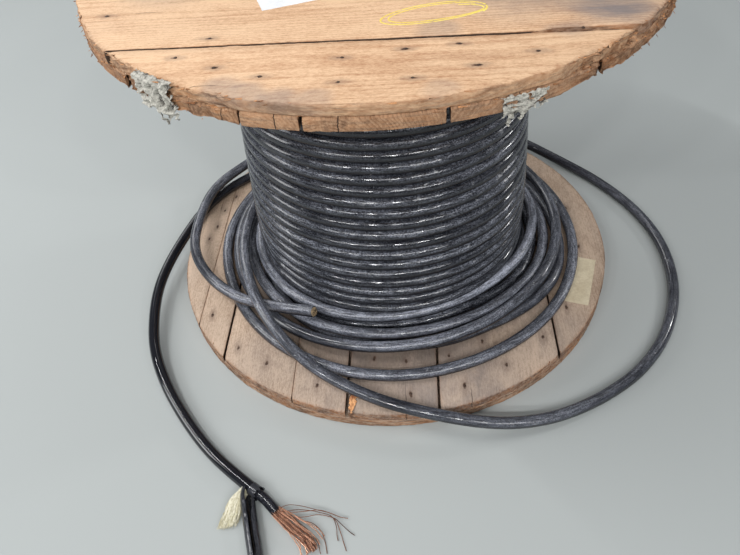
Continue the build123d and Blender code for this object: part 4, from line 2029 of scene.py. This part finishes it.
@dataclass
class StrippedEnd:
    """The end of the long cable: core, copper strands, slit jacket and filler."""

    root: Point = (-225.0, -584.0, 11.5)
    core_end: Point = (-183.0, -621.0, 9.8)
    wire: float = 0.9 * MM
    conductor: float = 6.9 * MM
    wall: float = 1.8 * MM
    unrolled: float = 60.0 * MM
    collar: float = 16.0 * MM
    reach: float = 147.5 * MM

    def build_core(self, finish: bpy.types.Material) -> bpy.types.Object:
        """The insulated core, from inside the jacket to its cut end.

        Args:
            finish: the insulation's material.

        Returns:
            The core.
        """
        route = [(-232.2, -578.7, 11.5), (-225, -584, 11.5), (-205.7, -598.2, 11.5), (-194, -610, 10.9), self.core_end]
        line = spline_line("core_line", onto_points(route), 10)
        piece = sweep("stripped_core_insulation", line, CORE / 2, 24, 40.0)
        dress(piece, finish)
        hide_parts("stripped_core")
        return piece

    def lay_places(self) -> list[tuple[float, float]]:
        """Radius and direction of each wire in the conductor: one, then three rings round it.

        Returns:
            One place for each wire.
        """
        places = [(0.0, 0.0)]
        for ring, count in ((1, 5), (2, 10), (3, 15)):
            places += [(self.conductor * ring / 3.0, 2 * math.pi * k / count) for k in range(count)]
        return places

    def build_strands(self, finish: bpy.types.Material) -> bpy.types.Object:
        """The bare wires, fanning out, crossing each other and drooping to the floor.

        Args:
            finish: the copper's material.

        Returns:
            The wires, as one piece.
        """
        chance = random.Random(71)
        middle = bend_through([
            (-188.5, -616.4, 10.2), (-183, -621, 9.8), (-166, -635, 10.2), (-147, -650, 9.6), (-128, -664, 8.4),
            (-116, -681, 7.0),
        ], 40) * MM
        side, above = level_frame(headings(middle))
        pile = Pile()
        for radius, turn in self.lay_places():
            share = np.linspace(0, 1, len(middle))
            twist = turn + share * chance.uniform(-0.6, 2.6)
            loose = 1 + share * chance.uniform(0.6, 2.9)
            drift = np.cumsum([chance.gauss(0, 0.22) for _ in share]) * MM * np.minimum(1.0, share * 2)
            belly = np.sin(np.minimum(1.0, share * 1.15) * math.pi)
            wide = radius * loose * np.cos(twist) + drift * 1.5 + belly * chance.uniform(-3.2, 3.2) * MM
            tall = radius * (1 - 0.35 * share) * np.sin(twist) + belly * chance.uniform(-1.0, 3.4) * MM
            line = middle + side * wide[:, None] + above * tall[:, None]
            line[:, 2] = np.maximum(line[:, 2], self.wire + 0.3 * MM)
            end = max(14, int(len(line) * min(1.0, chance.uniform(0.90, 1.15))))
            far = np.linalg.norm(line - np.array(self.root) * MM, axis=1)
            end = min(end, int(np.searchsorted(far, self.reach)))
            pile.strand(line[:end], np.full(end, self.wire * chance.uniform(0.85, 1.05)), 8, chance.random())
        piece = pile.piece("copper_wires")
        dress(piece, finish)
        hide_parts("copper_strands")
        return piece

    def build_strays(self, finish: bpy.types.Material) -> bpy.types.Object:
        """The few wires that have sprung away to the side.

        Args:
            finish: the copper's material.

        Returns:
            The stray wires, as one piece.
        """
        routes = [
            [(-184, -619, 14), (-176, -616, 17), (-164, -611, 16), (-147, -611, 14), (-130, -614, 12),
             (-116, -617, 10), (-102, -619, 8)],
            [(-183, -621, 13), (-172, -622, 15), (-154, -622, 13), (-136, -620, 12), (-114, -617, 10),
             (-96, -621, 8), (-78, -627, 6), (-66, -628, 4)],
            [(-182, -622, 12), (-169, -627, 12), (-153, -629, 10), (-136, -628, 9), (-116, -624, 8),
             (-98, -626, 7), (-86, -632, 6), (-78, -648, 4), (-72, -664, 2.5), (-66, -680, 2)],
            [(-182, -621, 13), (-168, -621, 14), (-150, -618, 13), (-130, -618, 11), (-110, -621, 9),
             (-92, -627, 7), (-84, -642, 5), (-82, -656, 3), (-80, -664, 2)],
            [(-98, -626, 6.5), (-86, -630, 6), (-74, -640, 4.5), (-62, -650, 2.5), (-54, -655, 1.6)],
            [(-176, -626, 13), (-160, -630, 12), (-140, -634, 9), (-122, -638, 6), (-108, -650, 4), (-100, -668, 2.4),
             (-96, -684, 1.6)],
            [(-172, -630, 12), (-156, -634, 12), (-142, -640, 10), (-126, -652, 8), (-112, -668, 6),
             (-106, -686, 4)],
        ]
        chance = random.Random(72)
        pile = Pile()
        for route in routes:
            line = bend_through(route, 8 * len(route)) * MM
            line[:, 2] = np.maximum(line[:, 2], self.wire + 0.2 * MM)
            pile.strand(line, np.full(len(line), 0.72 * MM * chance.uniform(0.8, 1.0)), 6, chance.uniform(0.3, 1.0))
        return dress(pile.piece("stray_copper_wires"), finish)

    def build_jacket(self, finish: bpy.types.Material) -> bpy.types.Object:
        """The slit jacket, peeled off sideways and lying open on the floor.

        Args:
            finish: the jacket's material.

        Returns:
            The slit jacket.
        """
        path = bend_through([
            (-236, -582, 0), (-236, -592, 0), (-233.5, -604, 0), (-229, -620, 0), (-223.5, -638, 0), (-217, -660, 0),
            (-210, -682, 0), (-205, -700, 0),
        ], 64) * MM
        side, _ = level_frame(headings(path))
        columns = 40
        vertices = []
        skin = []
        for number, (spot, across) in enumerate(zip(path, side)):
            share = number / (len(path) - 1)
            settled = min(1.0, share / 0.55)
            half = math.radians(132 + 34 * settled + 3 * ripple(share * 7, 1.0, 0.0))
            radius = self.unrolled * (0.86 + 0.24 * settled) / (2 * half)
            roll = math.radians(30 - 26 * settled)
            for k in range(columns + 1):
                turn = -half + 2 * half * k / columns
                rag = 1 + 0.03 * ripple(share * 16, turn, 5.0)
                sideways = radius * rag * math.sin(turn + roll)
                height = self.wall / 2 + 0.4 * MM + radius - radius * rag * math.cos(turn + roll)
                vertices.append(spot + across * sideways + np.array((0, 0, height)))
                skin.append((radius * math.sin(turn), radius * math.cos(turn), 50 + share * 0.11))
        wide = columns + 1
        faces = [[r * wide + k, r * wide + k + 1, (r + 1) * wide + k + 1, (r + 1) * wide + k]
                 for r in range(len(path) - 1) for k in range(columns)]
        piece = add_mesh("slit_jacket_peel", np.array(vertices), faces)
        mark(piece, "skin", skin)
        thicken(piece, self.wall)
        outward(piece)
        smooth(piece, 45.0)
        dress(piece, finish)
        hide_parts("slit_jacket")
        return piece

    def build_collar(self, finish: bpy.types.Material) -> bpy.types.Object:
        """The torn end of the jacket, a ragged ring round the core.

        Args:
            finish: the jacket's material.

        Returns:
            The collar.
        """
        clear_selection()
        bpy.ops.mesh.primitive_cylinder_add(vertices=40, radius=CABLE / 2 + 0.1 * MM, depth=self.collar,
                                            end_fill_type="NOTHING")
        piece = bpy.context.object
        piece.name = "torn_jacket_edge"
        with editing(piece):
            bpy.ops.mesh.subdivide(number_cuts=5)
        heading = Vector((0.8055, -0.5927, 0.0))
        place = Matrix.Translation(Vector(self.root) * MM + heading * 1 * MM)
        place = place @ heading.to_track_quat("Z", "Y").to_matrix().to_4x4()
        for vertex in piece.data.vertices:
            turn = math.atan2(vertex.co.y, vertex.co.x)
            share = vertex.co.z / self.collar + 0.5
            rag = ripple(math.cos(turn) * 2.2, math.sin(turn) * 2.2, 3.0) * 9 * MM
            flare = 1 + 0.06 * share**3 * (1 + ripple(math.cos(turn) * 3, math.sin(turn) * 3, 6.0))
            vertex.co = place @ Vector((vertex.co.x * flare, vertex.co.y * flare, vertex.co.z + rag * share))
            vertex.co.z = max(vertex.co.z, 1.6 * MM)
        thicken(piece, self.wall * 0.8)
        outward(piece)
        smooth(piece, 45.0)
        return dress(piece, finish)

    def build_filler(self) -> bpy.types.Object:
        """The tuft of pale paper filler pulled out beside the jacket.

        Returns:
            The tuft.
        """
        chance = random.Random(73)
        pile = Pile()
        for _ in range(420):
            across = max(-1.9, min(1.9, chance.gauss(0, 1)))
            shorter = chance.uniform(0.66, 1.0)
            lift = chance.random()
            route = [
                (-241 + across * 2.8, -582 + chance.uniform(-3, 3), 5 + 13 * lift),
                (-249.5 + across * 4.4, -592, 4 + 12 * lift),
                (-255.5 + across * 6.0, -607, 3 + 10 * lift),
                (-258 + across * 6.6, -622 + chance.uniform(-2, 2), 2 + 8 * lift),
                (-262 + across * 7.0, -636 + chance.uniform(-3, 3), 1.6 + 6 * lift),
                (-268 + across * 7.6 + chance.uniform(-4, 4), -650 + 1.8 * across, 1.2 + 3 * lift),
            ]
            line = bend_through(route, 14) * MM
            count = max(6, int(len(line) * shorter))
            shake = np.array([[chance.gauss(0, 0.5), chance.gauss(0, 0.5), chance.gauss(0, 0.3)] for _ in line]) * MM
            line = line + shake
            line[:, 2] = np.maximum(line[:, 2], 0.7 * MM)
            thick = chance.uniform(0.45, 1.3) * MM
            radii = np.full(count, thick)
            radii[-1] = 0.1 * MM
            pile.strand(line[:count], radii, 5, chance.random() * 0.8, chance.uniform(0.3, 1.0), chance.uniform(0, 3))
        piece = pile.piece("filler_fibres", 60.0)
        finish = TonedFinish("pale_filler", srgb(232, 228, 210), srgb(182, 174, 136), (0.75, 0.95), grit=300.0)
        dress(piece, finish.build())
        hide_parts("filler_paper")
        return piece

    def build(self) -> list[bpy.types.Object]:
        """Build the whole stripped end.

        Returns:
            Its pieces, those that lie on the cable first and the stray wires last.
        """
        black = JacketFinish("core_black", dust=0.10).build()
        peel = JacketFinish("peeled_jacket", dust=0.22, satin=0.8, tint=srgb(14, 14, 17)).build()
        copper = TonedFinish("bare_copper", srgb(252, 198, 166), srgb(98, 54, 40), (0.24, 0.42), 0.60).build()
        dull = TonedFinish("dull_copper", srgb(190, 134, 106), srgb(92, 66, 56), (0.4, 0.6), 0.7).build()
        return [
            self.build_core(black), self.build_strands(copper), self.build_jacket(peel), self.build_collar(peel),
            self.build_filler(), self.build_strays(dull),
        ]


@dataclass
class CutFace:
    """The sawn end of the short cable: a band of tape and the ends of the copper wires."""

    end: Vector
    heading: Vector
    wire: float = 0.8 * MM
    conductor: float = 7.6 * MM

    def build(self) -> bpy.types.Object:
        """Set the wire ends in the cut face.

        Returns:
            The dressed wire ends.
        """
        chance = random.Random(81)
        ahead = np.array(self.heading.normalized())
        side, above = level_frame(ahead)
        foot = np.array(self.end)
        pile = Pile()
        for ring in range(5):
            for k in range(max(1, 5 * ring)):
                radius, turn = self.conductor * ring / 4.3, 2 * math.pi * k / max(1, 5 * ring)
                spot = foot + side * radius * math.cos(turn) + above * radius * math.sin(turn)
                reach = chance.uniform(0.6, 3.2) * MM
                line = np.array([spot - ahead * 4 * MM, spot, spot + ahead * reach])
                pile.strand(line, np.full(3, self.wire), 7, chance.choice((0.15, 0.5, 0.95)))
        turns = np.linspace(0, 2 * math.pi, 40)
        band = np.array([foot + (side * math.cos(t) + above * math.sin(t)) * 8.5 * MM for t in turns])
        pile.strand(band, np.full(len(band), 0.45 * MM), 6, 0.0)
        piece = pile.piece("cut_end_wires", 40.0)
        finish = TonedFinish("cut_wire_ends", srgb(226, 200, 160), srgb(70, 50, 38), (0.35, 0.55), 0.4)
        return dress(piece, finish.build())


# Studio


@dataclass
class Studio:
    """Plain pale floor, soft light and the camera at the photograph's angle."""

    heading: float = -6.0
    pitch: float = 45.84
    roll: float = -5.73
    lens: float = 32.37
    place: Point = (0.0579, -1.0937, 1.0474)
    surround: float = 0.17

    def set_camera(self) -> None:
        """Stand the camera where the photograph was taken from."""
        data = bpy.data.cameras.new("camera")
        data.lens = self.lens
        data.sensor_width = 36.0
        data.clip_start, data.clip_end = 0.01, 50.0
        camera = link("camera", data)
        yaw, pitch, roll = (math.radians(v) for v in (self.heading, self.pitch, self.roll))
        ahead = Vector((math.sin(yaw) * math.cos(pitch), math.cos(yaw) * math.cos(pitch), -math.sin(pitch)))
        right = Vector((math.cos(yaw), -math.sin(yaw), 0))
        above = right.cross(ahead)
        right, above = (
            math.cos(roll) * right + math.sin(roll) * above, -math.sin(roll) * right + math.cos(roll) * above
        )
        turn = Matrix((right, above, -ahead)).transposed().to_4x4()
        camera.matrix_world = Matrix.Translation(Vector(self.place)) @ turn
        bpy.context.scene.camera = camera

    def add_light(self, name: str, place: Point, aim: Point, size: tuple[float, float], power: float) -> None:
        """Hang one soft rectangular lamp.

        Args:
            name: its name.
            place: where it hangs.
            aim: the point it looks at.
            size: its two sides.
            power: its power in watts.
        """
        data = bpy.data.lights.new(name, "AREA")
        data.shape = "RECTANGLE"
        data.size, data.size_y = size
        data.energy = power
        lamp = link(name, data)
        look = (Vector(aim) - Vector(place)).to_track_quat("-Z", "Y").to_matrix().to_4x4()
        lamp.matrix_world = Matrix.Translation(Vector(place)) @ look

    def light(self) -> None:
        """Light the drum like a bright hall: rows of ceiling lamps and an even surround."""
        world = bpy.data.worlds.new("surround")
        world.use_nodes = True
        background = world.node_tree.nodes["Background"]
        background.inputs[0].default_value = srgb(222, 228, 236)
        background.inputs[1].default_value = self.surround
        bpy.context.scene.world = world
        rows = (((-3.4, 3.3), 6, 1.25, (0.22, 0.14), 21), ((-5.6, 4.1), 6, 1.75, (0.30, 0.18), 26),
                ((0.1, 3.5), 5, 1.25, (0.9, 0.25), 2.2), ((2.4, 3.3), 5, 1.25, (0.9, 0.25), 2.2))
        for row, ((y, z), count, spacing, size, power) in enumerate(rows):
            for column in range(count):
                x = spacing * (column - (count - 1) / 2)
                self.add_light(f"ceiling_{row}_{column}", (x, y, z), (0.3 * x, 0, 0.3), size, power)
        self.add_light("ceiling_left", (-2.35, 0.2, 3.3), (-0.15, 2.0, 0.3), (2.8, 0.07), 56)
        self.add_light("window_left", (-3.2, -0.6, 1.5), (0, 0, 0.2), (1.2, 1.4), 28)
        self.add_light("lamp_right", (3.6, 1.3, 2.3), (0, 0, 0.3), (0.35, 0.35), 18)
        self.add_light("window_behind", (-2.4, 2.9, 2.2), (-0.3, 0, 0.1), (1.8, 1.2), 22)
        bpy.context.scene.view_settings.view_transform = "Standard"

    def lay_floor(self) -> None:
        """Lay the plain floor."""
        clear_selection()
        bpy.ops.mesh.primitive_plane_add(size=12, location=(0, 0, 0))
        floor = bpy.context.object
        floor.name = "floor"
        g = Graph("pale_floor")
        g.set(Base_Color=srgb(176, 181, 180), Roughness=0.7, Specular_IOR_Level=0.2)
        floor.data.materials.append(g.material)


# Putting it together


def main() -> None:
    """Build the drum and the studio."""
    logging.basicConfig(level=logging.INFO, format="%(name)s: %(message)s")
    studio = Studio()
    studio.set_camera()
    long_cable = LooseCable(
        "loose_cable_jacket", "loose_cable",
        polar(SLACK_TURNS, TURN_SPREAD) + polar(LOOP_ROUTE) + onto_points(TAIL_ROUTE),
        9.97, JacketFinish("jacket_loose", dust=0.84, satin=0.6, polish=0.8, clean_from=8.6, clean_at=9.3,
                           fresher_from=6.4, dustier_to=1.3),
    )
    short_cable = LooseCable(
        "cut_tail_jacket", "cut_tail", polar(SHORT_TURNS, TURN_SPREAD) + polar(SHORT_ROUTE),
        4.91, JacketFinish("jacket_cut_tail", dust=0.78, satin=0.6, polish=0.8),
    )
    long_piece = long_cable.build()
    short_piece = short_cable.build()
    stripped = StrippedEnd().build()
    cut_face = CutFace(short_cable.line[-1], short_cable.line[-1] - short_cable.line[-2]).build()
    log.info("cables laid, with %d pieces on their ends", len(stripped) + 1)
    Winding().build()
    log.info("winding wound")
    Flanges().build()
    Trimmings().build()
    Fastenings().dress(frame["nodes"])
    studio.light()
    studio.lay_floor()
    log.info("studio lit")


if __name__ == "__main__":
    main()
